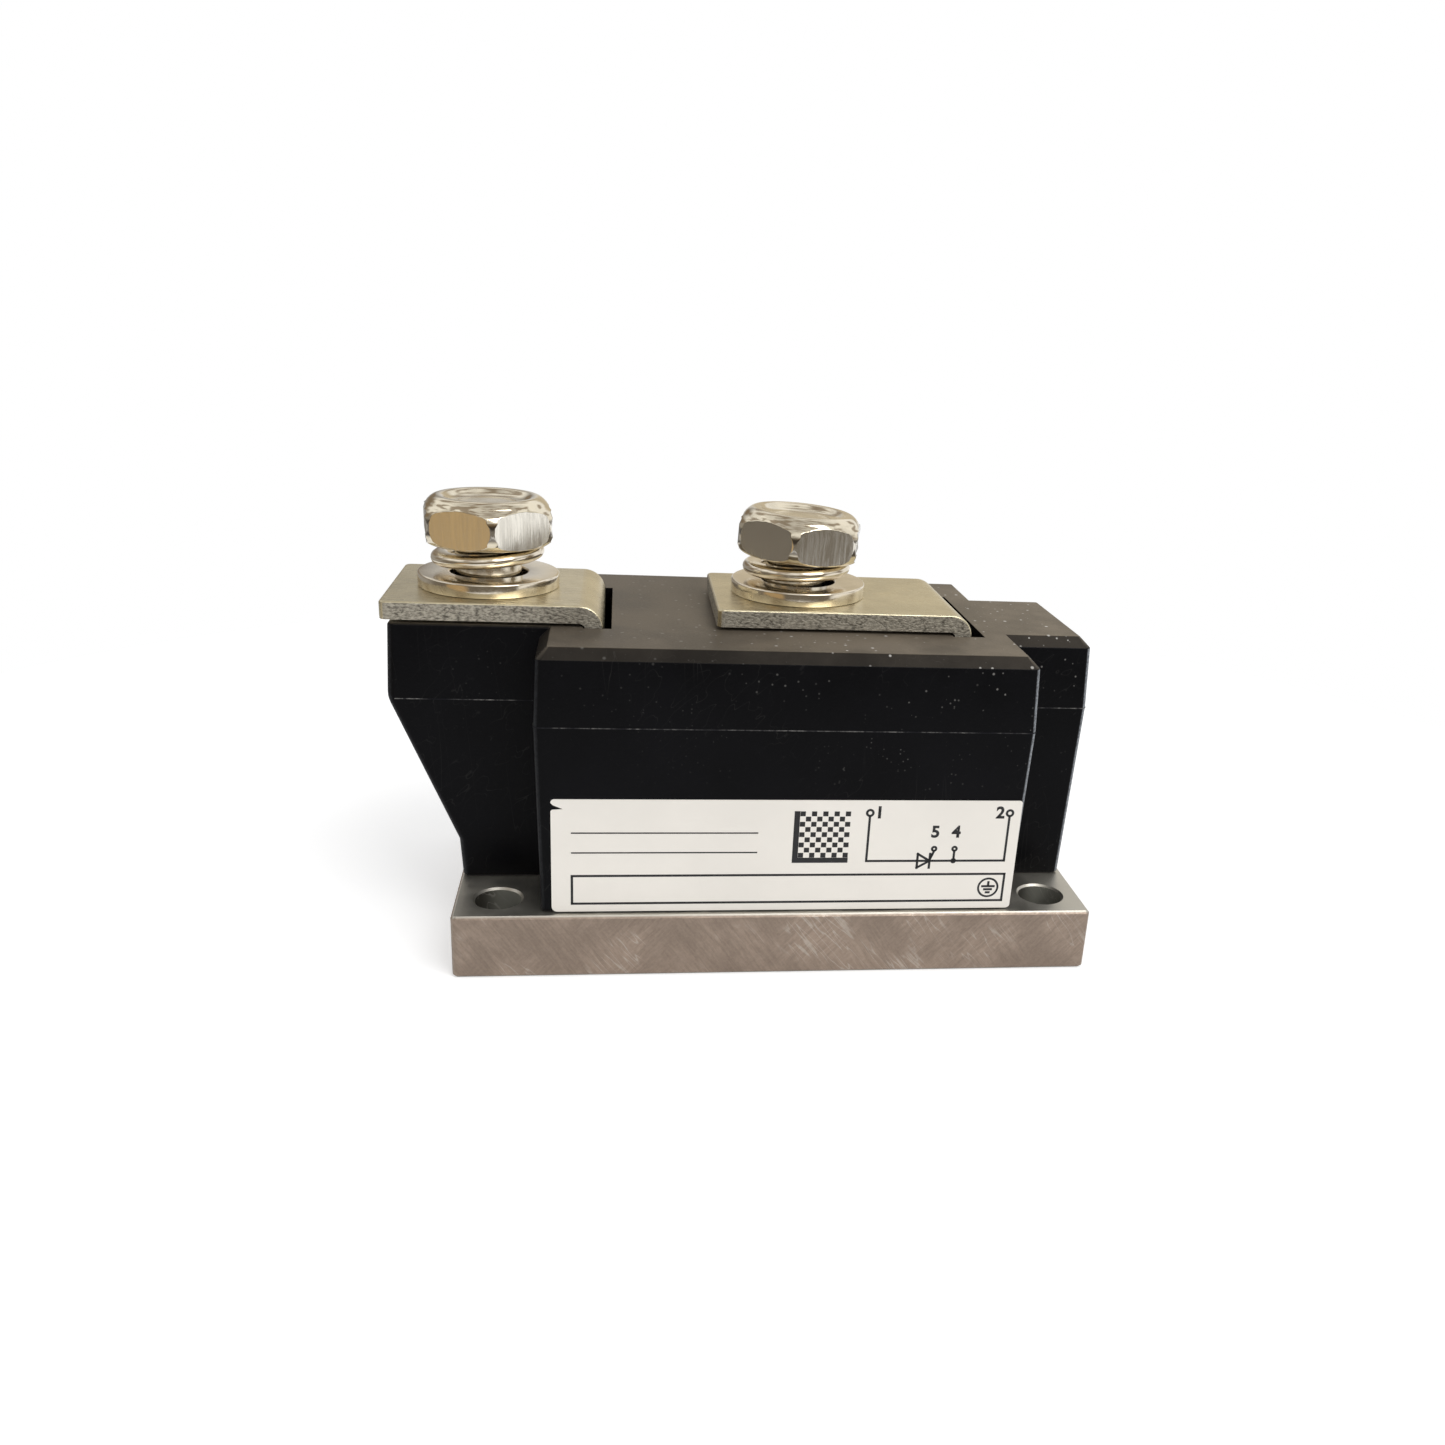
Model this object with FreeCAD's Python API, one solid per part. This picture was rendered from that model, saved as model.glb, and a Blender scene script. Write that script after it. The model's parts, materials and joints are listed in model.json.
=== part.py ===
import FreeCAD, Part
import math
import os

# Pressure-contact thyristor module with two screw terminals, in millimetres.
# Origin: centre of the baseplate's underside. X runs along the module, with the anode end at -X,
# the printed label faces -Y, and Z points up away from the heat sink.

V = FreeCAD.Vector
ORIGIN = V(0, 0, 0)
X_AXIS = V(1, 0, 0)
Y_AXIS = V(0, 1, 0)
Z_AXIS = V(0, 0, 1)

# Working lengths that shape nothing: how far a cutting shape runs past a face, how far a joined
# shape sinks into its neighbour, and how close counts as lying on a face
over = 1.0
sink = 0.5
near = 0.01

# Baseplate: nickel-plated copper, with four holes for the heat-sink screws
base_length = 92.0
base_width = 50.0
base_thickness = 9.4
base_corner_radius = 0.8
base_bevel = 0.4
mount_edge_distance = 6.0
mount_hole_diameter = 6.5
mount_hole_bevel = 0.3
mount_spacing_x = base_length - 2 * mount_edge_distance
mount_spacing_y = base_width - 2 * mount_edge_distance

# Terminal bolts M10, both backed off a little
thread_radius = 4.9
thread_play = 0.05
neck_relief = 0.5
neck_radius = thread_radius - neck_relief
neck_length = 4.0
neck_taper = 0.4
bolt_length = 16.0
bolt_tip_chamfer = 0.8
head_shoulder = 3.6
head_flats = 2 * (thread_radius + head_shoulder)
head_height = 6.4
head_edge_inset = 0.2
head_bearing_radius = head_flats / 2 - head_edge_inset
head_bottom_chamfer = 1.1
head_top_chamfer_start = 3.3
head_top_chamfer_rise = 1.7
head_rim_inset = 1.1
head_rim_radius = head_flats / 2 - head_rim_inset
head_rim_round = 0.55
head_rim_width = 1.1
head_dish_radius = head_rim_radius - head_rim_width
head_dish_lip = 0.35
head_dish_slope = 1.2
head_dish_depth = 0.9
anode_head_lift = 6.4
anode_head_turn = 9.0
anode_bolt_lean = 0.0
cathode_head_lift = 5.9
cathode_head_turn = -12.0
cathode_bolt_lean = 3.0

# Their captive nuts, and the pockets that hold them
nut_shoulder = 3.6
nut_flats = 2 * (thread_radius + nut_shoulder)
nut_height = 8.0
nut_chamfer = 0.7
nut_edge_inset = 0.2
nut_bevel_radius = nut_flats / 2 - nut_edge_inset
pocket_clearance = 0.25
pocket_end_clearance = 0.2
pocket_headroom = 1.3
tip_room_drop = 2.1
tip_room_side = 1.0
tip_room_radius = thread_radius + tip_room_side
boss_wall = 1.3
boss_floor = 2.3
boss_rib = 2.0
boss_gap = 0.5

# Their washers
flat_washer_play = 0.55
flat_washer_band = 4.5
flat_washer_bore = thread_radius + flat_washer_play
flat_washer_radius = flat_washer_bore + flat_washer_band
flat_washer_thickness = 2.0
flat_washer_bevel = 0.3
cathode_washer_slip = 0.45
spring_washer_play = 0.2
spring_washer_band = 2.9
spring_washer_bore = thread_radius + spring_washer_play
spring_washer_radius = spring_washer_bore + spring_washer_band
spring_washer_thickness = 1.9
spring_washer_rise = 0.5
spring_washer_gap_angle = 12.0
spring_washer_tilt = 4.5
spring_washer_clearance = 0.1

# Housing: moulded cap, widest at its parting line and drafted both ways from there
seal_thickness = 0.3
seal_setback = 0.5
wall = 2.5
block_setback = 0.6
screw_room = 5.5
side_end_setback = 0.1
overhang_reach = 8.9
overhang_foot_rise = 5.6
block_length = mount_spacing_x - 2 * screw_room
block_width = base_width - 2 * block_setback
side_width = 2 * ((nut_flats + 2 * pocket_clearance) / math.sqrt(3) + wall)
side_end_x = base_length / 2 - side_end_setback
overhang_foot_x = base_length / 2
overhang_end_x = overhang_foot_x + overhang_reach
parting_drop = 10.6
foot_inset = 0.7
top_inset = 0.4
block_edge_radius = 0.9
side_edge_radius = 1.0
top_chamfer = 1.5
chamfer_corner = 0.3
overhang_top_chamfer = 0.3
overhang_knee_radius = 4.0

# Terminal busbars: copper strip, bent over the housing once it is on
strip_thickness = 2.5
strip_gap = 0.5
strip_shoulder_drop = 5.4
plate_side_setback = 0.25
plate_width = side_width - 2 * plate_side_setback
plate_bend_radius = 2.0
inner_bend_radius = 2.6
riser_clearance = 1.1
plate_corner_radius = 1.0
plate_edge_round = 0.35
plate_end_overhang = 0.56
anode_leg_room = 4.04
anode_hole_inset = 13.56
cathode_leg_room = 4.82
cathode_plate_length = 36.9
cathode_nut_inset = 11.87
terminal_hole_clearance = 0.6
slot_side_clearance = 0.3
slot_back_clearance = 0.3
anode_slot_reach = 1.08
cathode_slot_reach = 1.11

# Gate contact, in the middle of the stack
stack_play = 0.1
pin_radius = 0.8
pin_head_radius = 1.45
pin_head_height = 0.5
pin_head_drop = 0.9
pin_head_play = 0.15
bush_bore = pin_head_radius + pin_head_play
bush_wall = 0.8
bush_step = 0.9
bush_flange_thickness = 0.8
gate_spring_inset = 0.35
gate_spring_radius = pin_head_radius - gate_spring_inset
gate_spring_wire = 0.2
gate_spring_turns = 4
spring_bore_play = 0.25
contact_play = 0.2
spring_bore_radius = pin_head_radius + spring_bore_play
contact_radius = spring_bore_radius - contact_play
contact_thickness = 0.4
upper_disc_bore = bush_bore + bush_wall + stack_play
cathode_disc_bore = upper_disc_bore + bush_step + stack_play
bush_flange_width = 1.5
bush_flange_radius = cathode_disc_bore + bush_flange_width

# Pressure stack: each disc is set from the one outside it, and the ring from the housing's walls
ring_side_clearance = 0.3
ring_wall = 0.8
ring_rise = 0.5
ceramic_thickness = 1.0
ceramic_border = 2.0
molybdenum_border = 1.0
molybdenum_thickness = 2.0
pellet_thickness = 0.8
pellet_bevel = 0.8
guard_overlap = 1.0
guard_width = 1.6
upper_disc_border = 2.0
upper_disc_thickness = 1.5
cathode_disc_border = 0.5
cap_border = 1.5
cap_thickness = 3.5
cap_recess_play = 0.2
thrust_border = 3.5
thrust_thickness = 2.0
spigot_play = 0.2
disc_spring_width = 6.4
disc_spring_thickness = 1.5
disc_spring_cone = 0.55
disc_spring_count = 2
ring_outer_radius = block_width / 2 - foot_inset - wall - ring_side_clearance
ceramic_radius = ring_outer_radius - ring_wall - stack_play
anode_disc_radius = ceramic_radius - ceramic_border
molybdenum_radius = anode_disc_radius - molybdenum_border
upper_disc_radius = molybdenum_radius - upper_disc_border
cathode_disc_radius = upper_disc_radius - cathode_disc_border
cap_radius = cathode_disc_radius + cap_border
thrust_radius = cap_radius - thrust_border
disc_spring_inner = thrust_radius - disc_spring_width
spigot_radius = disc_spring_inner - spigot_play

# Clamp yoke and its screws
yoke_thickness = 4.0
yoke_ear_radius = 4.0
yoke_waist_inset_x = 5.0
yoke_waist_inset_y = 2.0
clamp_screw_radius = 2.5
clamp_hole_clearance = 0.3
clamp_head_radius = 4.25
clamp_head_height = 5.0
clamp_side_clearance = 0.65
clamp_socket_flats = 4.0
clamp_socket_depth = 2.5
clamp_depth_in_base = 6.0
clamp_tip_room = 0.8
clamp_ring_gap = 2.5
clamp_y = block_width / 2 - wall - clamp_side_clearance - clamp_head_radius
clamp_circle = ring_outer_radius + clamp_ring_gap + clamp_screw_radius
clamp_x = math.sqrt(clamp_circle ** 2 - clamp_y ** 2)

# Control terminals and their inner leads, which pass between the clamp screws and the busbars
recess_depth = 7.6
recess_width = 16.0
recess_height = 10.4
tab_width = 2.8
tab_thickness = 0.8
tab_pitch = 8.0
tab_setback = 0.5
tab_inner_length = 2.5
tab_taper = 0.9
tab_hole_diameter = 1.2
tab_hole_from_tip = 2.6
lead_radius = 0.5
lead_bend = 1.4
lead_groove_width = 1.5
lead_groove_depth = 1.5
lead_groove_room = 0.1
lead_screw_gap = 2.5
lead_strip_gap = 2.0
lead_corner_x = 14.0
lead_wall_gap = 6.0
lead_turn_rise = 8.0
lead_turn_drop = 4.0
lead_tab_gap = 0.3
lead_side_y = clamp_y - clamp_screw_radius - lead_radius - lead_screw_gap
inner_strip_width = 2 * (lead_side_y - lead_radius - lead_strip_gap)

# Label on the front face
label_left_inset = 2.2
label_right_inset = 1.2
label_bottom = 0.25
label_height = 17.1
label_thickness = 0.12
label_corner = 1.0
label_nick_height = 1.1
label_nick_depth = 1.5
label_nick_drop = 1.9

# Heights, from the baseplate up through the stack to the housing's top
foot_z = base_thickness + seal_thickness
anode_disc_z = base_thickness + ceramic_thickness
lower_disc_z = anode_disc_z + strip_thickness
pellet_z = lower_disc_z + molybdenum_thickness
upper_disc_z = pellet_z + pellet_thickness
cathode_disc_z = upper_disc_z + upper_disc_thickness
cap_z = cathode_disc_z + strip_thickness
thrust_z = cap_z + cap_thickness
disc_spring_z = thrust_z + thrust_thickness
disc_spring_height = disc_spring_thickness + disc_spring_cone
yoke_z = disc_spring_z + disc_spring_count * disc_spring_height
lead_z = thrust_z - lead_groove_depth + lead_radius + lead_groove_room
boss_foot_z = yoke_z + yoke_thickness + boss_gap
tip_room_z = boss_foot_z + boss_floor
pocket_floor_z = tip_room_z + tip_room_drop
housing_top_z = pocket_floor_z + nut_height + pocket_headroom
parting_z = housing_top_z - parting_drop
ceiling_z = housing_top_z - wall
overhang_foot_z = foot_z + overhang_foot_rise
strip_shoulder_z = ceiling_z - strip_shoulder_drop
plate_under_z = housing_top_z + strip_gap
plate_top_z = plate_under_z + strip_thickness
anode_head_z = plate_top_z + anode_head_lift
cathode_head_z = plate_top_z + cathode_head_lift
recess_top_z = ceiling_z
recess_bottom_z = recess_top_z - recess_height
tab_z = recess_bottom_z + recess_height / 2

# Places along the module
anode_leg_x = strip_thickness + anode_leg_room + wall - block_length / 2
anode_plate_end_x = -overhang_end_x - plate_end_overhang
anode_hole_x = anode_plate_end_x + anode_hole_inset
cathode_leg_x = block_length / 2 - wall - cathode_leg_room
cathode_plate_end_x = cathode_leg_x - cathode_plate_length
cathode_nut_x = cathode_plate_end_x + cathode_nut_inset
recess_floor_x = side_end_x - recess_depth
recess_back_x = recess_floor_x - wall
lead_rise_x = recess_back_x - lead_wall_gap


def box(x0, x1, y0, y1, z0, z1):
    return Part.makeBox(x1 - x0, y1 - y0, z1 - z0, V(x0, y0, z0))


def cylinder(radius, z0, z1, x=0.0, y=0.0):
    return Part.makeCylinder(radius, z1 - z0, V(x, y, z0))


def turned(profile):
    """Solid of revolution about Z from a closed outline of (radius, height) points."""
    points = [V(r, 0, z) for r, z in profile]
    face = Part.Face(Part.makePolygon(points + points[:1]))
    return face.revolve(ORIGIN, Z_AXIS, 360)


def fused(first, *others):
    return first.fuse(list(others)).removeSplitter()


def plan_wire(x0, x1, half_width, z, left_radius=0.0, right_radius=0.0):
    """Rectangle seen from above, with its corners rounded at either end."""
    corners = [(V(x0, -half_width, z), left_radius), (V(x1, -half_width, z), right_radius),
               (V(x1, half_width, z), right_radius), (V(x0, half_width, z), left_radius)]
    edges = []
    first = here = V((x0 + x1) / 2, -half_width, z)
    for i, (corner, radius) in enumerate([corners[1], corners[2], corners[3], corners[0]]):
        ahead = [corners[2][0], corners[3][0], corners[0][0], corners[1][0]][i]
        if radius == 0:
            edges.append(Part.LineSegment(here, corner).toShape())
            here = corner
            continue
        incoming, outgoing = (corner - here).normalize(), (ahead - corner).normalize()
        start, end = corner - incoming * radius, corner + outgoing * radius
        middle = corner + (outgoing - incoming) * (radius * (1 - math.sqrt(0.5)))
        edges.append(Part.LineSegment(here, start).toShape())
        edges.append(Part.Arc(start, middle, end).toShape())
        here = end
    edges.append(Part.LineSegment(here, first).toShape())
    return Part.Wire(edges)


def edges_where(shape, test):
    return [edge for edge in shape.Edges if test(edge)]


def is_along(edge, axis, slack=0.2):
    """True for a straight edge that runs within a few degrees of an axis."""
    if not isinstance(edge.Curve, Part.Line):
        return False
    direction = edge.tangentAt(edge.FirstParameter)
    return abs(direction.dot(axis)) > 1 - slack * slack


def hexagon(flats, z0, z1):
    radius = flats / math.sqrt(3)
    points = [V(radius * math.cos(math.radians(60 * i)), radius * math.sin(math.radians(60 * i)), z0)
              for i in range(6)]
    return Part.Face(Part.makePolygon(points + points[:1])).extrude(V(0, 0, z1 - z0))


def turn_about(shape, centre, axis, degrees):
    copy = shape.copy()
    copy.rotate(centre, axis, degrees)
    return copy


def rounded_path(points, radius):
    """Straight runs joined by tangent arcs; returns (start, middle, end) for each arc."""
    arcs = []
    for before, corner, after in zip(points, points[1:], points[2:]):
        incoming = (corner - before).normalize()
        outgoing = (after - corner).normalize()
        turn = incoming.getAngle(outgoing)
        reach = radius * math.tan(turn / 2)
        start = corner - incoming * reach
        end = corner + outgoing * reach
        inward = (outgoing - incoming).normalize()
        centre = corner + inward * (radius / math.cos(turn / 2))
        arcs.append((start, centre - inward * radius, end))
    return arcs


def path_wire(points, radius):
    edges = []
    here = points[0]
    for start, middle, end in rounded_path(points, radius):
        edges.append(Part.LineSegment(here, start).toShape())
        edges.append(Part.Arc(start, middle, end).toShape())
        here = end
    edges.append(Part.LineSegment(here, points[-1]).toShape())
    return Part.Wire(edges)


def wire_lead(points, radius, bend):
    """Round wire swept along straight runs and arcs."""
    spine = path_wire(points, bend)
    direction = (points[1] - points[0]).normalize()
    section = Part.Wire(Part.makeCircle(radius, points[0], direction))
    return spine.makePipeShell([section], True, True)


def strip_edges(points, bends, offset):
    """One long side of a bent strip, at a distance to the left of its middle line (seen along +Y)."""
    directions = [(b - a).normalize() for a, b in zip(points, points[1:])]
    normals = [V(-d.z, 0, d.x) for d in directions]
    edges = []
    here = points[0] + normals[0] * offset
    for i, corner in enumerate(points[1:-1]):
        before, after = directions[i], directions[i + 1]
        turn = before.getAngle(after)
        left_turn = before.x * after.z - before.z * after.x > 0
        radius = bends[i]
        side = 1 if left_turn else -1
        reach = radius * math.tan(turn / 2)
        centre = corner - before * reach + normals[i] * (side * radius)
        start = corner - before * reach + normals[i] * offset
        end = corner + after * reach + normals[i + 1] * offset
        middle_direction = ((start - centre).normalize() + (end - centre).normalize()).normalize()
        middle = centre + middle_direction * (radius - side * offset)
        edges.append(Part.LineSegment(here, start).toShape())
        edges.append(Part.Arc(start, middle, end).toShape())
        here = end
    edges.append(Part.LineSegment(here, points[-1] + normals[-1] * offset).toShape())
    return edges, here, points[-1] + normals[-1] * offset


def bent_strip(points, bends, width):
    """Strip bent in the XZ plane about its middle line, centred on Y = 0."""
    half = strip_thickness / 2
    left, _, left_end = strip_edges(points, bends, half)
    right, _, right_end = strip_edges(points, bends, -half)
    left_start = left[0].Vertexes[0].Point
    right_start = right[0].Vertexes[0].Point
    caps = [Part.LineSegment(left_end, right_end).toShape(),
            Part.LineSegment(right_start, left_start).toShape()]
    outline = Part.Wire(Part.__sortEdges__(left + right + caps))
    solid = Part.Face(outline).extrude(V(0, width, 0))
    return solid.translated(V(0, -width / 2, 0))


def baseplate():
    half_length, half_width = base_length / 2, base_width / 2
    plate = box(-half_length, half_length, -half_width, half_width, 0, base_thickness)
    plate = plate.makeFillet(base_corner_radius, edges_where(plate, lambda e: is_along(e, Z_AXIS)))
    rims = edges_where(plate, lambda e: e.BoundBox.ZMin > base_thickness - near or e.BoundBox.ZMax < near)
    plate = plate.makeChamfer(base_bevel, rims)
    radius = mount_hole_diameter / 2
    mouth = radius + mount_hole_bevel + over
    hole = turned([(0, -over), (mouth, -over), (radius, mount_hole_bevel),
                   (radius, base_thickness - mount_hole_bevel),
                   (mouth, base_thickness + over), (0, base_thickness + over)])
    for x in (-mount_spacing_x / 2, mount_spacing_x / 2):
        for y in (-mount_spacing_y / 2, mount_spacing_y / 2):
            plate = plate.cut(hole.translated(V(x, y, 0)))
    for x, y in clamp_places():
        depth = clamp_depth_in_base + clamp_tip_room
        plate = plate.cut(cylinder(clamp_screw_radius + thread_play, base_thickness - depth,
                                   base_thickness + over, x, y))
    return plate


def clamp_places():
    return [(x, y) for x in (-clamp_x, clamp_x) for y in (-clamp_y, clamp_y)]


def drafted_block(x0, x1, width, left_draft, right_draft, left_radius=0.0, right_radius=0.0,
                  shrink=0.0, top=housing_top_z, chamfer=0.0):
    """Block that is widest at the parting line. shrink takes a wall off each drafted side."""
    half = width / 2 - shrink
    left, right = x0 + shrink * left_draft, x1 - shrink * right_draft

    def section(inset, z, sharpen=1.0):
        return plan_wire(left + inset * left_draft, right - inset * right_draft, half - inset, z,
                         left_radius * sharpen, right_radius * sharpen)

    rise = housing_top_z - parting_z
    sections = [section(foot_inset, foot_z), section(0.0, parting_z)]
    if chamfer > 0:
        sections.append(section(top_inset * (top - chamfer - parting_z) / rise, top - chamfer))
        sections.append(section(top_inset * (top - parting_z) / rise + chamfer, top, chamfer_corner))
    else:
        sections.append(section(top_inset * (top - parting_z) / rise, top))
    return Part.makeLoft(sections, True, True)


def central_block():
    half = block_length / 2
    return drafted_block(-half, half, block_width, 1, 1, block_edge_radius, block_edge_radius,
                         chamfer=top_chamfer)


def right_block():
    return drafted_block(0, side_end_x, side_width, 0, 1, 0.0, side_edge_radius, chamfer=top_chamfer)


def left_block():
    """Narrow block that leans out past the baseplate and carries the anode terminal."""
    half = side_width / 2
    knee = [V(-overhang_end_x + top_inset, 0, housing_top_z), V(-overhang_end_x, 0, parting_z),
            V(-overhang_foot_x, 0, overhang_foot_z)]
    (start, middle, end), = rounded_path(knee, overhang_knee_radius)
    inner_foot, inner_top = V(0, 0, foot_z), V(0, 0, housing_top_z)
    foot = V(-overhang_foot_x + foot_inset / 2, 0, foot_z)
    edges = [Part.Arc(start, middle, end).toShape()]
    corners = [end, knee[2], foot, inner_foot, inner_top, knee[0], start]
    edges += [Part.LineSegment(p, q).toShape() for p, q in zip(corners, corners[1:])]
    profile = Part.Face(Part.Wire(edges)).extrude(V(0, side_width, 0))
    profile.translate(V(0, -half, 0))
    block = profile.common(drafted_block(-2 * overhang_end_x, over, side_width, 0, 0))
    outer = edges_where(block, lambda e: e.BoundBox.XMax < -overhang_foot_x + foot_inset
                        and e.BoundBox.ZLength > e.BoundBox.YLength + near)
    block = block.makeFillet(side_edge_radius, outer)
    rim = edges_where(block, lambda e: e.BoundBox.ZMin > housing_top_z - near and e.BoundBox.XMin < -near)
    return block.makeChamfer(overhang_top_chamfer, rim)


def nut_pocket(x, lean):
    """Space for a captive nut, open at the top, with a deeper round room for the bolt's tip."""
    lean_room = nut_height / 2 * math.sin(math.radians(lean))
    pocket = hexagon(nut_flats + 2 * (pocket_clearance + lean_room), pocket_floor_z, housing_top_z + over)
    room = cylinder(tip_room_radius, tip_room_z, pocket_floor_z + sink)
    space = pocket.fuse(room)
    return turn_about(space, ORIGIN, Z_AXIS, 30).translated(V(x, 0, 0))


def slot(leg_x, reach):
    half = plate_width / 2 + slot_side_clearance
    inner = leg_x - strip_thickness - slot_back_clearance
    return box(inner, leg_x + reach, -half, half, ceiling_z - over, housing_top_z + over)


def control_tab_box(y, x0, x1):
    half_width, half_thickness = tab_width / 2, tab_thickness / 2
    return box(x0, x1, y - half_width, y + half_width, tab_z - half_thickness, tab_z + half_thickness)


def housing():
    shell = fused(central_block(), right_block(), left_block())

    hollow = drafted_block(-block_length / 2, block_length / 2, block_width, 1, 1, shrink=wall, top=ceiling_z)
    foot = plan_wire(-block_length / 2 + foot_inset + wall, block_length / 2 - foot_inset - wall,
                     block_width / 2 - foot_inset - wall, foot_z)
    mouth = Part.Face(foot).extrude(V(0, 0, -over))
    shell = shell.cut([hollow, mouth])

    side_half = side_width / 2 - foot_inset - wall
    left_hollow = box(-overhang_foot_x + wall + foot_inset / 2, 0, -side_half, side_half,
                      foot_z - over, boss_foot_z)
    lead_hollow = box(0, recess_back_x, -side_half, side_half, foot_z - over, ceiling_z)
    right_hollow = box(0, side_end_x - foot_inset - wall, -side_half, side_half,
                       foot_z - over, recess_bottom_z - wall)
    shell = shell.cut([left_hollow, lead_hollow, right_hollow])

    # The cathode nut sits in a boss that hangs from the ceiling, held by two ribs
    boss_half = nut_flats / math.sqrt(3) + pocket_clearance + boss_wall
    boss = box(cathode_nut_x - boss_half, cathode_nut_x + boss_half, -boss_half, boss_half,
               boss_foot_z, ceiling_z + sink)
    rib_half = block_width / 2 - wall
    rib = box(cathode_nut_x - boss_rib / 2, cathode_nut_x + boss_rib / 2, -rib_half, rib_half,
              yoke_z + yoke_thickness + clamp_head_height, ceiling_z + sink)
    shell = fused(shell, boss, rib)

    shell = shell.cut([nut_pocket(anode_hole_x, anode_bolt_lean),
                       nut_pocket(cathode_nut_x, cathode_bolt_lean),
                       slot(anode_leg_x, anode_slot_reach), slot(cathode_leg_x, cathode_slot_reach)])
    recess = box(recess_floor_x, side_end_x + over, -recess_width / 2, recess_width / 2,
                 recess_bottom_z, recess_top_z)
    tab_ways = [control_tab_box(y, recess_back_x - over, recess_floor_x + over)
                for y in (-tab_pitch / 2, tab_pitch / 2)]
    return shell.cut([recess] + tab_ways)


def adhesive_seal():
    """Bead of adhesive between the housing's foot and the baseplate."""
    def layer(setback, grow):
        half_length = block_length / 2 - foot_inset - setback
        half_width = block_width / 2 - foot_inset - setback
        side_half = side_width / 2 - foot_inset - setback
        left = -overhang_foot_x + foot_inset / 2 + setback
        right = side_end_x - foot_inset - setback
        low, high = base_thickness - grow, foot_z + grow
        body = box(-half_length, half_length, -half_width, half_width, low, high)
        return body.fuse([box(left, 0, -side_half, side_half, low, high),
                          box(0, right, -side_half, side_half, low, high)])
    inner = wall - seal_setback / 2
    return layer(seal_setback, 0).cut(layer(inner, over)).removeSplitter()


def label():
    """Sticker on the drafted front face, with the nick torn in its left edge."""
    left, right = label_left_inset - block_length / 2, block_length / 2 - label_right_inset
    low, high = label_bottom, label_bottom + label_height
    nick = high - label_nick_drop
    plate = box(left, right, -label_thickness, 0, low, high)
    plate = plate.makeFillet(label_corner, edges_where(plate, lambda e: is_along(e, Y_AXIS)))
    nick_foot = nick - label_nick_height
    points = [V(left - over, over, nick), V(left, over, nick), V(left + label_nick_depth, over, nick_foot),
              V(left - over, over, nick_foot)]
    tear = Part.Face(Part.makePolygon(points + points[:1])).extrude(V(0, -2 * over - label_thickness, 0))
    plate = plate.cut(tear)
    draft = math.degrees(math.atan2(foot_inset, parting_z - foot_z))
    plate.rotate(ORIGIN, X_AXIS, draft)
    plate.translate(V(0, -(block_width / 2 - foot_inset), foot_z))
    return plate


def terminal_plate(end_x, leg_x, disc_z, disc_radius, hole_x, riser=None):
    """Busbar: inner disc and arm, the leg, and the plate over the housing.

    riser gives (x, low, high) of a first upright stretch that then leans out to the leg.
    """
    half = strip_thickness / 2
    leg_mid = leg_x - half
    top_mid = plate_top_z - half
    arm_z = disc_z + half
    line = [V(0, 0, arm_z)]
    if riser:
        x, low, high = riser
        line += [V(x, 0, arm_z), V(x, 0, low), V(leg_mid, 0, high)]
    else:
        line += [V(leg_mid, 0, arm_z)]
    line += [V(leg_mid, 0, top_mid), V(end_x, 0, top_mid)]
    bends = [inner_bend_radius] * (len(line) - 3) + [plate_bend_radius]
    strip = bent_strip(line, bends, plate_width)
    keep_low = box(-base_length, base_length, -inner_strip_width / 2, inner_strip_width / 2,
                   0, strip_shoulder_z + over)
    keep_high = box(-base_length, base_length, -plate_width, plate_width, strip_shoulder_z, plate_top_z + over)
    strip = strip.common(keep_low.fuse(keep_high).removeSplitter())
    corners = edges_where(strip, lambda e: is_along(e, Z_AXIS) and e.BoundBox.XMax < end_x + near)
    strip = strip.makeFillet(plate_corner_radius, corners)
    brim = edges_where(strip, lambda e: e.BoundBox.ZMin > plate_top_z - near
                       and (is_along(e, X_AXIS) or e.BoundBox.XMax < end_x + plate_corner_radius + near))
    strip = strip.makeFillet(plate_edge_round, brim)
    disc = cylinder(disc_radius, disc_z, disc_z + strip_thickness)
    hole_radius = thread_radius + terminal_hole_clearance
    hole = cylinder(hole_radius, plate_under_z - over, plate_top_z + over, hole_x)
    return fused(strip, disc).cut(hole)


def anode_busbar():
    riser_x = -(molybdenum_radius + guard_width + riser_clearance + strip_thickness / 2)
    riser = (riser_x, thrust_z, yoke_z + yoke_thickness)
    return terminal_plate(anode_plate_end_x, anode_leg_x, anode_disc_z, anode_disc_radius, anode_hole_x, riser)


def cathode_busbar():
    hole_x = bolt_axis_x(cathode_nut_x, cathode_bolt_lean, plate_top_z - strip_thickness / 2)
    plate = terminal_plate(cathode_plate_end_x, cathode_leg_x, cathode_disc_z, cathode_disc_radius, hole_x)
    return plate.cut(cylinder(cathode_disc_bore, cathode_disc_z - over, cap_z + over))


def bolt_head():
    """Hexagon head with oval flats, a rounded rim and a dished top; its bearing face is at Z = 0."""
    corner = head_flats / math.sqrt(3)
    flat = head_flats / 2
    chamfer_end = head_top_chamfer_start + head_top_chamfer_rise
    dish_z = head_height - head_dish_depth
    rim = [(0, 0), (head_bearing_radius, 0), (corner, head_bottom_chamfer), (corner, head_top_chamfer_start),
           (flat, chamfer_end), (head_rim_radius + head_rim_round, head_height - head_rim_round),
           (head_rim_radius, head_height), (head_dish_radius + head_dish_lip, head_height),
           (head_dish_radius, head_height - head_dish_lip), (head_dish_radius - head_dish_slope, dish_z),
           (0, dish_z)]
    return hexagon(head_flats, 0, head_height).common(turned(rim))


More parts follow.
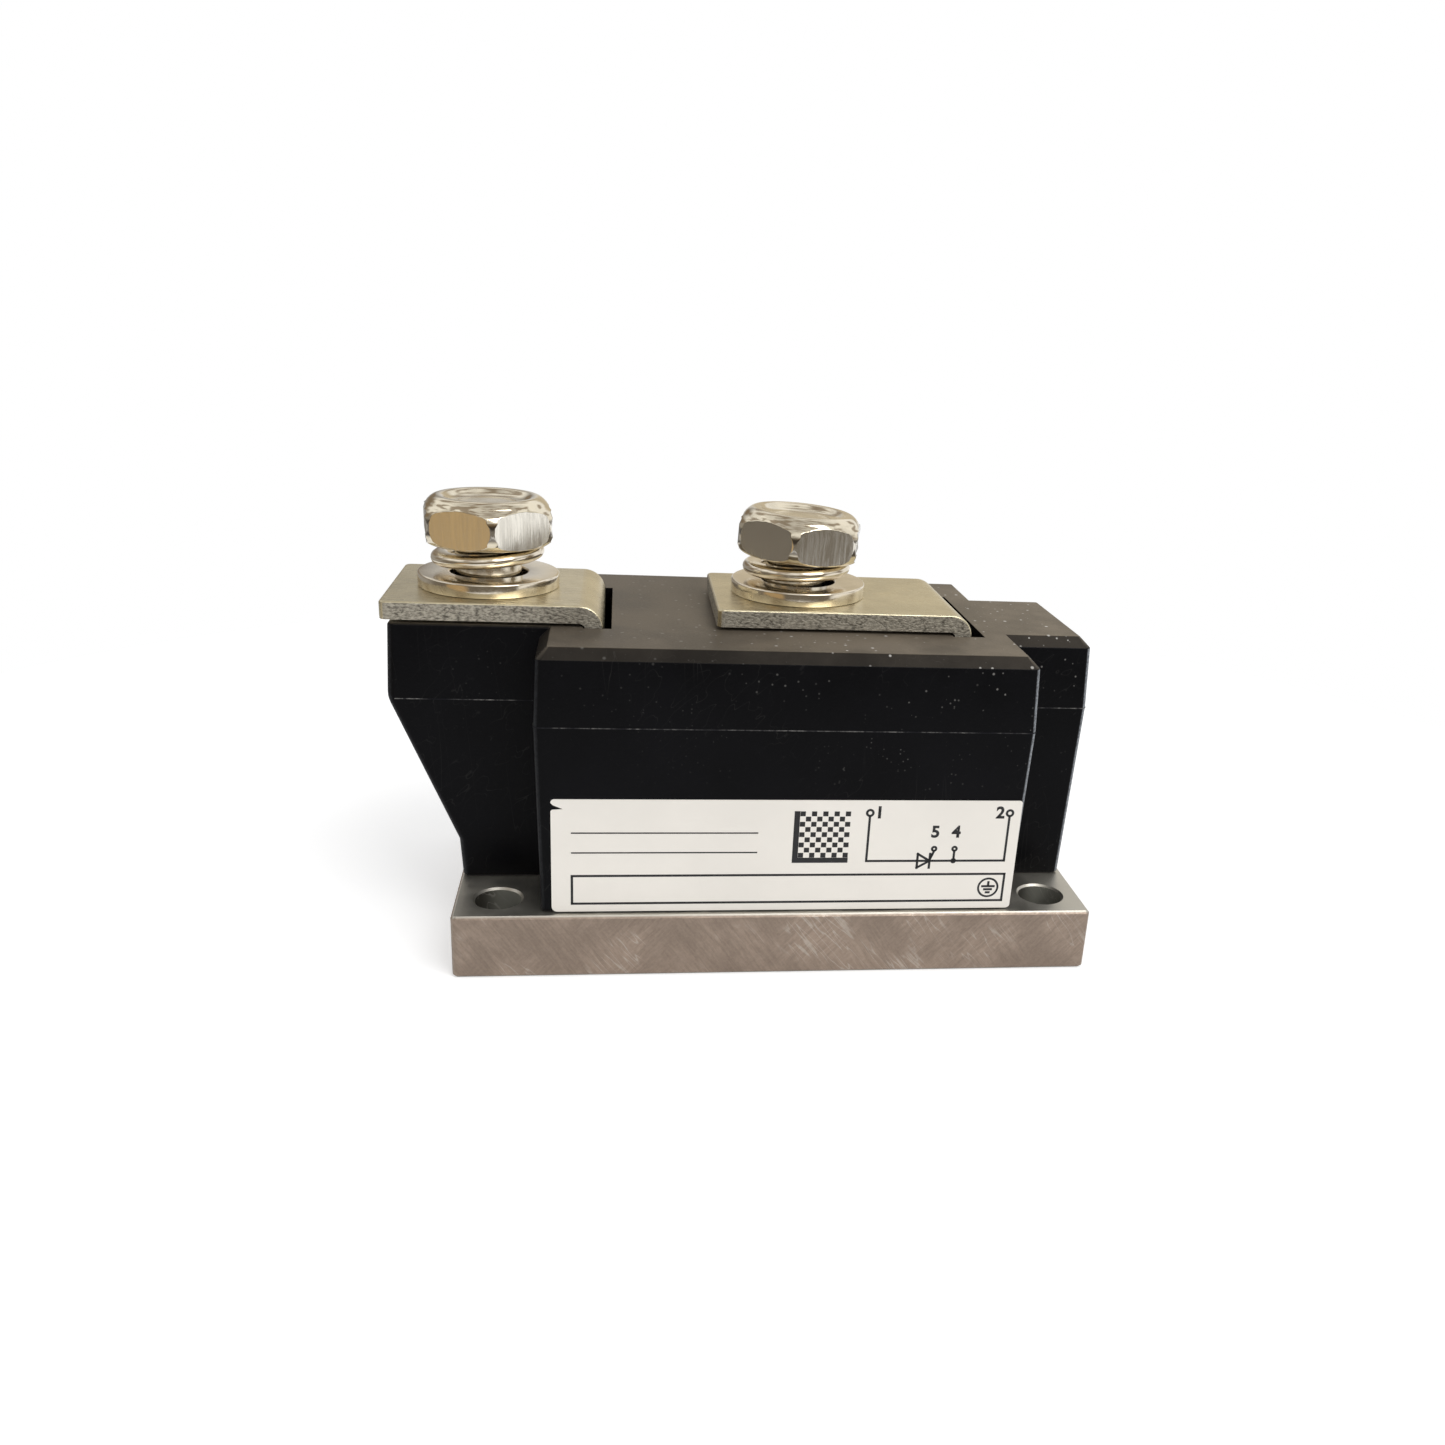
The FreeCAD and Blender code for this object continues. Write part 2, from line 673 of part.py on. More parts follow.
def terminal_bolt(head_turn):
    """Bolt in its own frame: bearing face at Z = 0, shank down, plain where the thread would be."""
    thread_top = -neck_length - neck_taper
    shank = turned([(0, sink), (neck_radius, sink), (neck_radius, -neck_length), (thread_radius, thread_top),
                    (thread_radius, -bolt_length + bolt_tip_chamfer),
                    (thread_radius - bolt_tip_chamfer, -bolt_length), (0, -bolt_length)])
    head = turn_about(bolt_head(), ORIGIN, Z_AXIS, 30 + head_turn)
    return fused(head, shank)


def spring_washer():
    """Split washer in the bolt's frame, hanging askew just under the head."""
    mean = (spring_washer_radius + spring_washer_bore) / 2
    half = (spring_washer_radius - spring_washer_bore) / 2
    share = 1 - spring_washer_gap_angle / 360
    spine = Part.makeHelix(spring_washer_rise / share, spring_washer_rise, mean)
    t = spring_washer_thickness
    points = [V(mean - half, 0, 0), V(mean + half, 0, 0), V(mean + half, 0, t), V(mean - half, 0, t)]
    section = Part.makePolygon(points + points[:1])
    washer = Part.Wire(spine).makePipeShell([section], True, True)
    washer.rotate(ORIGIN, Z_AXIS, 90 + spring_washer_gap_angle / 2)
    washer.rotate(ORIGIN, Y_AXIS, -spring_washer_tilt)
    washer.translate(V(0, 0, -spring_washer_clearance - washer.optimalBoundingBox(True, False).ZMax))
    return washer


def terminal_nut():
    """Hexagon nut in the bolt's frame before it is set to its height: lower face at Z = 0."""
    corner = nut_flats / math.sqrt(3)
    blank = turned([(0, 0), (nut_bevel_radius, 0), (corner, nut_chamfer), (corner, nut_height - nut_chamfer),
                    (nut_bevel_radius, nut_height), (0, nut_height)])
    nut = hexagon(nut_flats, 0, nut_height).common(blank)
    nut = nut.cut(cylinder(thread_radius + thread_play, -over, nut_height + over))
    return turn_about(nut, ORIGIN, Z_AXIS, 30)


def flat_washer(x):
    r, b, t = flat_washer_radius, flat_washer_bore, flat_washer_thickness
    ring = turned([(b, 0), (r, 0), (r, t - flat_washer_bevel), (r - flat_washer_bevel, t), (b, t)])
    return ring.translated(V(x, 0, plate_top_z))


def nut_rest_z(lean):
    """Height of a nut whose lowest corner just clears the floor of its pocket."""
    dip = nut_flats / math.sqrt(3) * math.sin(math.radians(lean))
    return pocket_floor_z + pocket_end_clearance + dip


def bolt_axis_x(x, lean, z):
    """Where a leaning bolt's axis stands at a height, for a nut whose middle is at x."""
    return x + (z - nut_rest_z(lean) - nut_height / 2) * math.tan(math.radians(lean))


def set_bolt_piece(shape, x, height, lean):
    """Stands a piece of the bolt's frame on the nut's middle and leans it towards +X."""
    placed = shape.translated(V(x, 0, height))
    return turn_about(placed, V(x, 0, nut_rest_z(lean) + nut_height / 2), Y_AXIS, lean)


def ceramic_insulator():
    return cylinder(ceramic_radius, base_thickness, anode_disc_z)


def centring_ring():
    """Plastic ring that holds the ceramic and the anode disc in line; open where the arm leaves."""
    seat, grip = ceramic_radius + stack_play, anode_disc_radius + stack_play
    step_z = anode_disc_z + stack_play
    top_z = lower_disc_z + ring_rise
    ring = turned([(seat, base_thickness), (ring_outer_radius, base_thickness), (ring_outer_radius, top_z),
                   (grip, top_z), (grip, step_z), (seat, step_z)])
    half = inner_strip_width / 2 + slot_side_clearance
    return ring.cut(box(-ring_outer_radius - over, 0, -half, half, anode_disc_z, top_z + over))


def lower_molybdenum_disc():
    return cylinder(molybdenum_radius, lower_disc_z, pellet_z)


def thyristor_pellet():
    top_radius = molybdenum_radius - pellet_bevel
    return turned([(0, pellet_z), (molybdenum_radius, pellet_z), (top_radius, upper_disc_z), (0, upper_disc_z)])


def pellet_guard_ring():
    """Soft ring cast over the pellet's bevelled edge."""
    outer = molybdenum_radius + guard_width
    top_radius = molybdenum_radius - pellet_bevel
    low, high = pellet_z - guard_overlap, upper_disc_z + guard_overlap
    inner = upper_disc_radius + stack_play
    side = molybdenum_radius + stack_play
    return turned([(side, low), (outer, low), (outer, high), (inner, high), (inner, upper_disc_z),
                   (top_radius, upper_disc_z), (side, pellet_z)])


def upper_molybdenum_disc():
    disc = cylinder(upper_disc_radius, upper_disc_z, cathode_disc_z)
    return disc.cut(cylinder(upper_disc_bore, upper_disc_z - over, cathode_disc_z + over))


def gate_bush():
    """Insulating sleeve through the cathode disc, stepped down through the molybdenum."""
    outer, inner = cathode_disc_bore - stack_play, upper_disc_bore - stack_play
    top_z = cap_z + bush_flange_thickness
    return turned([(bush_bore, upper_disc_z + pin_head_drop), (inner, upper_disc_z + pin_head_drop),
                   (inner, cathode_disc_z), (outer, cathode_disc_z), (outer, cap_z),
                   (bush_flange_radius, cap_z), (bush_flange_radius, top_z), (bush_bore, top_z)])


def pin_shoulder_z():
    return cap_z - pin_head_drop


def gate_pin():
    low, head = upper_disc_z, pin_shoulder_z()
    return turned([(0, low), (pin_radius / 2, low), (pin_radius, low + pin_radius / 2), (pin_radius, head),
                   (pin_head_radius, head), (pin_head_radius, head + pin_head_height),
                   (0, head + pin_head_height)])


def contact_z():
    return lead_z - lead_radius - contact_thickness


def gate_spring():
    low = pin_shoulder_z() + pin_head_height + gate_spring_wire
    high = contact_z() - gate_spring_wire
    spine = Part.makeHelix((high - low) / gate_spring_turns, high - low, gate_spring_radius)
    section = Part.Wire(Part.makeCircle(gate_spring_wire, V(gate_spring_radius, 0, 0), Y_AXIS))
    coil = Part.Wire(spine).makePipeShell([section], True, True)
    return coil.translated(V(0, 0, low))


def pressure_cap():
    """Moulded insulator that passes the clamp's force to the cathode disc."""
    cap = cylinder(cap_radius, cap_z, thrust_z)
    cap = cap.cut(cylinder(bush_flange_radius + cap_recess_play, cap_z - over,
                           cap_z + bush_flange_thickness + stack_play))
    cap = cap.cut(cylinder(spring_bore_radius, cap_z - over, thrust_z + over))
    half = lead_groove_width / 2
    groove = box(0, cap_radius + over, -half, half, thrust_z - lead_groove_depth, thrust_z + over)
    lead_angle = math.degrees(math.atan2(lead_side_y, lead_corner_x))
    return cap.cut(turn_about(groove, ORIGIN, Z_AXIS, lead_angle))


def thrust_washer():
    plate = cylinder(thrust_radius, thrust_z, disc_spring_z)
    return fused(plate, cylinder(spigot_radius, thrust_z, yoke_z - disc_spring_cone))


def disc_spring(index):
    """Conical spring washer; every second one is turned over."""
    inner, outer, t, cone = disc_spring_inner, thrust_radius, disc_spring_thickness, disc_spring_cone
    low = disc_spring_z + index * disc_spring_height
    if index % 2 == 0:
        outline = [(inner, cone), (outer, 0), (outer, t), (inner, t + cone)]
    else:
        outline = [(inner, 0), (outer, cone), (outer, t + cone), (inner, t)]
    return turned(outline).translated(V(0, 0, low))


def clamp_yoke():
    """Pressed steel bridge: four ears for the screws, waisted to stay clear of the busbars."""
    z0, z1 = yoke_z, yoke_z + yoke_thickness
    waist_x, waist_y = clamp_x - yoke_waist_inset_x, clamp_y - yoke_waist_inset_y
    yoke = box(-waist_x, waist_x, -waist_y, waist_y, z0, z1)
    arms = []
    for x, y in clamp_places():
        arms.append(cylinder(yoke_ear_radius, z0, z1, x, y))
        reach = math.hypot(x, y)
        arm = box(0, reach, -yoke_ear_radius, yoke_ear_radius, z0, z1)
        arms.append(turn_about(arm, ORIGIN, Z_AXIS, math.degrees(math.atan2(y, x))))
    yoke = fused(yoke, *arms)
    for x, y in clamp_places():
        yoke = yoke.cut(cylinder(clamp_screw_radius + clamp_hole_clearance, z0 - over, z1 + over, x, y))
    return yoke


def clamp_screws():
    """Four cap screws, as one group of separate solids."""
    head_z = yoke_z + yoke_thickness
    screw = fused(cylinder(clamp_head_radius, head_z, head_z + clamp_head_height),
                  cylinder(clamp_screw_radius, base_thickness - clamp_depth_in_base, head_z + sink))
    screw = screw.cut(hexagon(clamp_socket_flats, head_z + clamp_head_height - clamp_socket_depth,
                              head_z + clamp_head_height + over))
    return Part.makeCompound([screw.translated(V(x, y, 0)) for x, y in clamp_places()])


def control_tab(y):
    """Flat push-on tab through the floor of the recess, with a tapered tip and a lock hole."""
    tip_x = side_end_x - tab_setback
    start_x = recess_back_x - tab_inner_length
    tab = control_tab_box(y, start_x, tip_x)
    tip_edges = edges_where(tab, lambda e: e.BoundBox.XMin > tip_x - near and is_along(e, Z_AXIS))
    tab = tab.makeChamfer(tab_taper, tip_edges)
    hole = cylinder(tab_hole_diameter / 2, tab_z - over, tab_z + over, tip_x - tab_hole_from_tip, y)
    return tab.cut(hole)


def lead_rest_z():
    return tab_z + tab_thickness / 2 + lead_radius


def gate_lead():
    """From the contact under the yoke, out beside the cathode leg, then up and along the top of its tab."""
    y, rest_z = tab_pitch / 2, lead_rest_z()
    points = [V(0, 0, lead_z), V(lead_corner_x, lead_side_y, lead_z), V(lead_rise_x, lead_side_y, lead_z),
              V(lead_rise_x, lead_side_y, lead_z + lead_turn_rise), V(lead_rise_x, y, rest_z - lead_turn_drop),
              V(lead_rise_x, y, rest_z), V(recess_back_x - lead_tab_gap, y, rest_z)]
    contact = cylinder(contact_radius, contact_z(), contact_z() + contact_thickness + lead_radius / 2)
    return fused(wire_lead(points, lead_radius, lead_bend), contact)


def cathode_sense_lead():
    """From the outer face of the cathode leg, up and along the top of its tab."""
    y, rest_z, start_z = -tab_pitch / 2, lead_rest_z(), lead_z + lead_turn_rise
    points = [V(cathode_leg_x, y, start_z), V(lead_rise_x, y, start_z), V(lead_rise_x, y, rest_z),
              V(recess_back_x - lead_tab_gap, y, rest_z)]
    return wire_lead(points, lead_radius, lead_bend)


anode_x = anode_hole_x
cathode_x = cathode_nut_x
cathode_washer_x = cathode_washer_slip + bolt_axis_x(cathode_x, cathode_bolt_lean,
                                                     plate_top_z + flat_washer_thickness / 2)
parts = {
    "baseplate": baseplate(),
    "adhesive_seal": adhesive_seal(),
    "housing": housing(),
    "label": label(),
    "anode_busbar": anode_busbar(),
    "cathode_busbar": cathode_busbar(),
    "anode_terminal_nut": set_bolt_piece(terminal_nut(), anode_x, nut_rest_z(anode_bolt_lean), anode_bolt_lean),
    "cathode_terminal_nut": set_bolt_piece(terminal_nut(), cathode_x, nut_rest_z(cathode_bolt_lean),
                                           cathode_bolt_lean),
    "anode_flat_washer": flat_washer(anode_x),
    "cathode_flat_washer": flat_washer(cathode_washer_x),
    "anode_spring_washer": set_bolt_piece(spring_washer(), anode_x, anode_head_z, anode_bolt_lean),
    "cathode_spring_washer": set_bolt_piece(spring_washer(), cathode_x, cathode_head_z, cathode_bolt_lean),
    "anode_terminal_bolt": set_bolt_piece(terminal_bolt(anode_head_turn), anode_x, anode_head_z,
                                          anode_bolt_lean),
    "cathode_terminal_bolt": set_bolt_piece(terminal_bolt(cathode_head_turn), cathode_x, cathode_head_z,
                                            cathode_bolt_lean),
    "ceramic_insulator": ceramic_insulator(),
    "centring_ring": centring_ring(),
    "lower_molybdenum_disc": lower_molybdenum_disc(),
    "thyristor_pellet": thyristor_pellet(),
    "pellet_guard_ring": pellet_guard_ring(),
    "upper_molybdenum_disc": upper_molybdenum_disc(),
    "gate_bush": gate_bush(),
    "gate_pin": gate_pin(),
    "gate_spring": gate_spring(),
    "pressure_cap": pressure_cap(),
    "thrust_washer": thrust_washer(),
    "clamp_yoke": clamp_yoke(),
    "clamp_screws": clamp_screws(),
    "gate_tab": control_tab(tab_pitch / 2),
    "cathode_sense_tab": control_tab(-tab_pitch / 2),
    "gate_lead": gate_lead(),
    "cathode_sense_lead": cathode_sense_lead(),
}
for number in range(disc_spring_count):
    parts["disc_spring_%d" % (number + 1)] = disc_spring(number)

os.makedirs("parts", exist_ok=True)
for node, shape in parts.items():
    shape.exportStep("parts/%s.step" % node)
    print("%-24s solids %d valid %s volume %.1f" % (node, len(shape.Solids), shape.isValid(), shape.Volume))
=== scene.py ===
import json
import math
from contextlib import contextmanager
from functools import reduce

import bpy
from mathutils import Matrix, Vector

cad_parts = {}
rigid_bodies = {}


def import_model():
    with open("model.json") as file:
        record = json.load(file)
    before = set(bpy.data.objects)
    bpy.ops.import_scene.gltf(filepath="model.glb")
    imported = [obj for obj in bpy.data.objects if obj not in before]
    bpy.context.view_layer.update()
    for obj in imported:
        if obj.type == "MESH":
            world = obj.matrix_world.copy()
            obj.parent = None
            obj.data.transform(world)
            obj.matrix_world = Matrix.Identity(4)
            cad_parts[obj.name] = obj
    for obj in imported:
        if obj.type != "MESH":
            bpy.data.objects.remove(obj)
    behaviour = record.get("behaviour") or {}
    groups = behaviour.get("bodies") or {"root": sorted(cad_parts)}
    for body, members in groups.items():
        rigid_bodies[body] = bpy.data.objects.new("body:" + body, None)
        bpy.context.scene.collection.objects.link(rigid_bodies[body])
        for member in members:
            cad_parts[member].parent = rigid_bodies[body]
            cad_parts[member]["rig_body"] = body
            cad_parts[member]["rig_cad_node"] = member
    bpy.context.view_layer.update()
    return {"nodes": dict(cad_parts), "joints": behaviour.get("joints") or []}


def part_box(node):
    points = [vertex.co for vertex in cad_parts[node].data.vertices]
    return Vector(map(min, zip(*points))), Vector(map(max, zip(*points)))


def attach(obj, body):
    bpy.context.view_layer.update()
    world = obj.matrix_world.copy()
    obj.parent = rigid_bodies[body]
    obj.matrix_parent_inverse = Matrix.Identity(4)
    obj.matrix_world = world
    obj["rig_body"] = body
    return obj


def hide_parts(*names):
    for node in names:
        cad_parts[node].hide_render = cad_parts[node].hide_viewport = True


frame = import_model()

bl_info = {
    "name": "Thyristor Module Looks",
    "version": (1, 0, 0),
    "blender": (4, 5, 0),
    "location": "View3D > Sidebar > Thyristor",
    "description": "Detailed bolts, washers, label print and finishes for a pressure-contact thyristor module",
    "category": "Object",
}

MM = 0.001
WELD = 0.002 * MM
NEAR = 0.03 * MM
UP = Vector((0, 0, 1))
SHELL_BODY = "module"


# Settings that a user would change

def number(name, description, default, **more):
    return bpy.props.FloatProperty(name=name, description=description, default=default, **more)


def length(name, description, millimetres):
    return number(name, description, millimetres * MM, subtype="DISTANCE", unit="LENGTH", precision=5)


def angle(name, description, degrees):
    return number(name, description, math.radians(degrees), subtype="ANGLE", unit="ROTATION")


def colour(name, description, default):
    return bpy.props.FloatVectorProperty(name=name, description=description, default=default, size=3,
                                         subtype="COLOR", min=0.0, max=1.0)


class BoltSizes(bpy.types.PropertyGroup):
    flats: length("Across flats", "Width of the hexagon head", 17.0)
    head_height: length("Head height", "From the bearing face to the rim of the dished top", 6.4)
    head_drop: length("Head drop", "How far the head's skirt hangs below the bearing height of the source", 0.25)
    flat_top: length("Top of the flats", "Where the flats end at their middle, above the bearing face", 5.25)
    neck_radius: length("Neck radius", "Plain part under the head", 4.65)
    neck_length: length("Neck length", "How far the plain part reaches down", 6.6)
    thread_radius: length("Thread radius", "Over the crests of the thread", 4.9)
    thread_depth: length("Thread depth", "From crest to root", 0.75)
    thread_pitch: length("Thread pitch", "From one crest to the next", 1.5)
    shank_length: length("Shank length", "From the bearing face to the tip", 16.0)
    flat_softness: length("Flat edge", "Rounding where the flats meet the forged skin", 0.14)
    anode_head_turn: angle("Anode head turn", "How the anode bolt's hexagon is turned", 39.0)
    cathode_head_turn: angle("Cathode head turn", "How the cathode bolt's hexagon is turned", 18.0)


class WasherSizes(bpy.types.PropertyGroup):
    split_outer: length("Split washer radius", "Outside radius of the split washer", 7.98)
    split_inner: length("Split washer bore", "Inside radius of the split washer", 5.15)
    split_thickness: length("Split washer thickness", "Height of its section", 1.85)
    split_round: length("Split washer rounding", "Corner radius of its rolled section", 0.915)
    split_rise: length("Split washer rise", "How far one end stands above the other", 0.5)
    split_gap: angle("Split washer gap", "Angle of the gap between its ends", 12.0)
    split_tilt: angle("Split washer tilt", "How far it hangs askew under the head", 3.9)
    split_clearance: length("Split washer clearance", "Play between it and the head", 0.1)
    flat_bore: length("Flat washer bore", "Inside radius of the flat washer", 5.45)
    flat_round: length("Flat washer rolled edge", "Rounding that the punch leaves at the top", 0.28)


class LabelSizes(bpy.types.PropertyGroup):
    paper: length("Paper", "Thickness of the label", 0.12)
    foot_y: length("Foot Y", "Where the housing's front face stands at its foot", -23.7)
    foot_z: length("Foot Z", "Height of the housing's foot", 9.7)
    draft_run: length("Draft", "How far the front face leans out up to the parting line", 0.7)
    draft_rise: length("Draft height", "Height from the foot to the parting line", 27.2)
    ink: length("Ink height", "How far the print stands off the paper", 0.02)
    stroke: length("Stroke", "Width of the printed lines", 0.34)
    digit: length("Digit height", "Size of the terminal numbers", 2.5)
    checks: bpy.props.IntProperty(name="Checks", description="Squares along a side of the check field",
                                  default=10, min=2)


class ShellSizes(bpy.types.PropertyGroup):
    seam: length("Parting line", "Height of the parting line", 36.9)
    flash: length("Flash", "Radius of the moulding flash along the parting line", 0.08)
    softness: length("Edge softness", "Rounding of the moulding's edges", 0.38)
    slot_end: length("Slot end", "Where the source's slot for the cathode busbar ends", 28.29)
    slot_foot: length("Slot foot", "Height above which that slot's end wall is moved", 44.9)
    slot_reach: length("Slot reach", "Half the width within which that wall lies", 12.8)
    slot_play: length("Slot play", "Extra room behind the cathode busbar in its slot", 0.7)


class FinishColours(bpy.types.PropertyGroup):
    plastic: colour("Moulding compound", "Black of the housing", (0.0022, 0.0022, 0.0028))
    dust: colour("Dust", "Pale specks and scuffs on the housing", (0.62, 0.60, 0.56))
    # Pale wear rubbed on the upright edges, together with a painted highlight that is strongest on the right
    chafed_and_highlight: colour("Chafed edges", "Moulding compound rubbed pale on its upright edges", (0.36, 0.38, 0.41))
    # Dust film on the housing's top; towards the right it is painted half again lighter, which is painted light
    film: colour("Dust film", "What settles on the housing's top", (0.130, 0.108, 0.081))
    nickel: colour("Baseplate nickel", "Matt nickel plating of the sawn sides", (0.36, 0.285, 0.23))
    nickel_top: colour("Baseplate top", "Nickel of the ground top", (0.60, 0.575, 0.51))
    bore: colour("Hole walls", "Nickel in the baseplate's holes", (0.34, 0.335, 0.29))
    bore_shade: colour("Hole shade", "Side of the holes' walls that lies in the dark", (0.06, 0.055, 0.045))
    strip: colour("Busbar plating", "Warm silver of the terminal plates", (0.74, 0.665, 0.465))
    sheared: colour("Sheared faces", "Smooth part of the plates' sheared faces", (0.52, 0.48, 0.395))
    torn: colour("Torn metal", "Pits in the plates' sheared faces", (0.045, 0.038, 0.028))
    bolt: colour("Bolt plating", "Bright nickel of the bolts' forged skin", (0.82, 0.74, 0.58))
    milled: colour("Milled flats", "Nickel on the milled flats", (0.90, 0.86, 0.77))
    # Painted dark reflection: the dark line round the milled flats
    rim: colour("Rims of the flats", "Dark line round the milled flats", (0.07, 0.05, 0.03))
    paper: colour("Label", "Off-white of the label", (0.88, 0.84, 0.775))
    ink: colour("Ink", "Print on the label", (0.004, 0.004, 0.005))


class StageSettings(bpy.types.PropertyGroup):
    camera_place: bpy.props.FloatVectorProperty(name="Camera place", description="Where the camera stands",
                                                default=(-0.023338, -0.187622, 0.093101), subtype="XYZ",
                                                unit="LENGTH")
    camera_turn: angle("Camera turn", "Heading of the camera about the vertical", -9.11)
    camera_pitch: angle("Camera pitch", "How far the camera looks down", 20.11)
    camera_roll: angle("Camera roll", "Roll of the camera", 3.61)
    lens: number("Lens", "Focal length", 32.0, subtype="DISTANCE_CAMERA")
    shift_x: number("Shift X", "Sideways shift of the picture", -0.0612)
    shift_y: number("Shift Y", "Upward shift of the picture", 0.0266)
    key_power: number("Key power", "Power of the large soft lamp", 7.0, unit="POWER")
    fill: number("Fill", "Light from all round", 0.68)
    dark_side: colour("Dark side", "What glossy surfaces find on the camera's side", (0.17, 0.15, 0.125))
    floor: colour("Floor", "Colour of the floor", (0.84, 0.84, 0.84))


def settings(name):
    return getattr(bpy.context.scene, "thyristor_" + name)


# Modelling steps

def deselect():
    bpy.ops.object.select_all(action="DESELECT")


def activate(obj, *others):
    deselect()
    for each in (obj, *others):
        each.select_set(True)
    bpy.context.view_layer.objects.active = obj


@contextmanager
def editing(obj, kind="VERT", whole=False):
    """Edit mode on one mesh, with all of it selected where that is asked for."""
    activate(obj)
    bpy.context.tool_settings.mesh_select_mode = [kind == each for each in ("VERT", "EDGE", "FACE")]
    bpy.ops.object.mode_set(mode="EDIT")
    if whole:
        bpy.ops.mesh.select_all(action="SELECT")
    yield
    bpy.ops.object.mode_set(mode="OBJECT")


def pick(obj, kind, test):
    """Selects the vertices, edges or polygons of a mesh that pass a test, and nothing else."""
    for group in (obj.data.vertices, obj.data.edges, obj.data.polygons):
        group.foreach_set("select", [False] * len(group))
    for each in getattr(obj.data, kind):
        each.select = test(each)


def weld():
    """Closes seams and poles of the mesh in edit mode, and points its faces outwards."""
    bpy.ops.mesh.select_all(action="SELECT")
    bpy.ops.mesh.remove_doubles(threshold=WELD)
    bpy.ops.mesh.normals_make_consistent(inside=False)


def settle(obj):
    """Moves an object's place into its mesh."""
    activate(obj)
    bpy.ops.object.transform_apply(location=True, rotation=True, scale=True)
    return obj


def place(obj, matrix):
    obj.matrix_world = matrix
    return settle(obj)


def modify(obj, kind, **values):
    """Adds a modifier and applies it at once."""
    activate(obj)
    modifier = obj.modifiers.new(kind.title(), kind)
    for name, value in values.items():
        setattr(modifier, name, value)
    bpy.ops.object.modifier_apply(modifier=modifier.name)
    return obj


def smooth(obj, degrees=30):
    activate(obj)
    bpy.ops.object.shade_smooth_by_angle(angle=math.radians(degrees))
    return obj


def arc(x, z, radius, start, steps):
    """Points on a circle about (x, z), at steps in degrees past the start."""
    turns = [math.radians(start + step) for step in steps]
    return [(x + radius * math.cos(t), z + radius * math.sin(t)) for t in turns]


def named(name):
    """Names the object just made, and its mesh."""
    obj = bpy.context.object
    obj.name = obj.data.name = name
    return obj


def join(name, pieces):
    activate(*pieces)
    bpy.ops.object.join()
    return named(name)


def draw(name, points, closed=True, filled=False):
    """Edges through the points, drawn by extruding one vertex from each point to the next."""
    deselect()
    bpy.ops.mesh.primitive_plane_add(size=MM, location=points[0])
    obj = named(name)
    with editing(obj, whole=True):
        bpy.ops.mesh.merge(type="CENTER")
        here = Vector(points[0])
        for there in map(Vector, list(points[1:]) + [points[0]] * closed):
            bpy.ops.mesh.extrude_vertices_move(TRANSFORM_OT_translate={"value": there - here})
            here = there
        weld()
        if filled:
            bpy.ops.mesh.edge_face_add()
    return settle(obj)


def lathe(name, profile, steps=96, closed=False):
    """Turned piece about Z, from (radius, height) points."""
    obj = draw(name, [(r, 0, z) for r, z in profile], closed)
    with editing(obj, whole=True):
        bpy.ops.mesh.spin(steps=steps, angle=math.tau, center=(0, 0, 0), axis=UP)
        weld()
    return obj


def helix(name, profile, pitch, turns, closed, steps=48):
    """Screw surface about Z, swept from (radius, height) points."""
    obj = draw(name, [(r, 0, z) for r, z in profile], closed)
    modify(obj, "SCREW", axis="Z", angle=math.tau * turns[0], screw_offset=pitch, iterations=turns[1],
           steps=steps, render_steps=steps, use_merge_vertices=False)
    with editing(obj):
        weld()
    return obj


def slice_off(obj, point, normal):
    """Cuts away what lies beyond a plane and closes the cut."""
    with editing(obj, whole=True):
        bpy.ops.mesh.bisect(plane_co=point, plane_no=normal, use_fill=True, clear_outer=True)


def stripped_copy(node, name):
    """Copy of a CAD node as a clean mesh of its own that rides on nothing yet."""
    activate(frame["nodes"][node])
    bpy.ops.object.duplicate()
    obj = named(name)
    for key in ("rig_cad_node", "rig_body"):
        if key in obj:
            del obj[key]
    bpy.ops.mesh.customdata_custom_splitnormals_clear()
    with editing(obj):
        weld()
        bpy.ops.mesh.dissolve_limited(angle_limit=math.radians(0.6))
    return obj


def finished(obj, slot, *nodes, body=SHELL_BODY, look=None):
    """Gives a piece its finish, its slot and the body it rides on, and hides the CAD nodes it stands for."""
    obj.data.materials.clear()
    obj.data.materials.append(finish(look or slot))
    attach(obj, body)
    if nodes:
        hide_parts(*nodes)
    return obj


def reach_along(node, origin, axis):
    """Highest point of a CAD node along an axis, measured from a point on it."""
    return max((v.co - origin).dot(axis) for v in frame["nodes"][node].data.vertices)


# Nodes of the finishes

def add(tree, kind, inputs=None, **values):
    """New shader node, with its inputs set or linked."""
    made = tree.nodes.new("ShaderNode" + kind)
    for name, value in values.items():
        setattr(made, name, value)
    for name, value in (inputs or {}).items():
        if isinstance(value, bpy.types.NodeSocket):
            tree.links.new(value, made.inputs[name])
        else:
            made.inputs[name].default_value = value
    return made


def maths(tree, operation, *values, clamp=False):
    return add(tree, "Math", dict(enumerate(values)), operation=operation, use_clamp=clamp).outputs[0]


def plus(tree, first, second):
    return maths(tree, "ADD", first, second)


def highest(tree, first, second):
    return maths(tree, "MAXIMUM", first, second)


def times(tree, *values):
    """Product of sockets and plain values."""
    return reduce(lambda product, value: maths(tree, "MULTIPLY", product, value), values)


def between(tree, share, first, second):
    """Mixes two values."""
    return add(tree, "Mix", {0: share, 2: first, 3: second}).outputs[0]


def axes(tree, kind):
    """X, Y and Z of a texture coordinate."""
    return add(tree, "SeparateXYZ", {"Vector": add(tree, "TexCoord").outputs[kind]}).outputs


def dim(tone, share):
    """A colour made darker, or paler with a share above 1."""
    return [min(1.0, share * c) for c in tone]


def ramp(tree, value, low, high, to_low=0.0, to_high=1.0):
    """Smooth step from one value to another."""
    made = add(tree, "MapRange", {"Value": value, "From Min": low, "From Max": high, "To Min": to_low,
                                  "To Max": to_high}, interpolation_type="SMOOTHSTEP")
    return made.outputs["Result"]


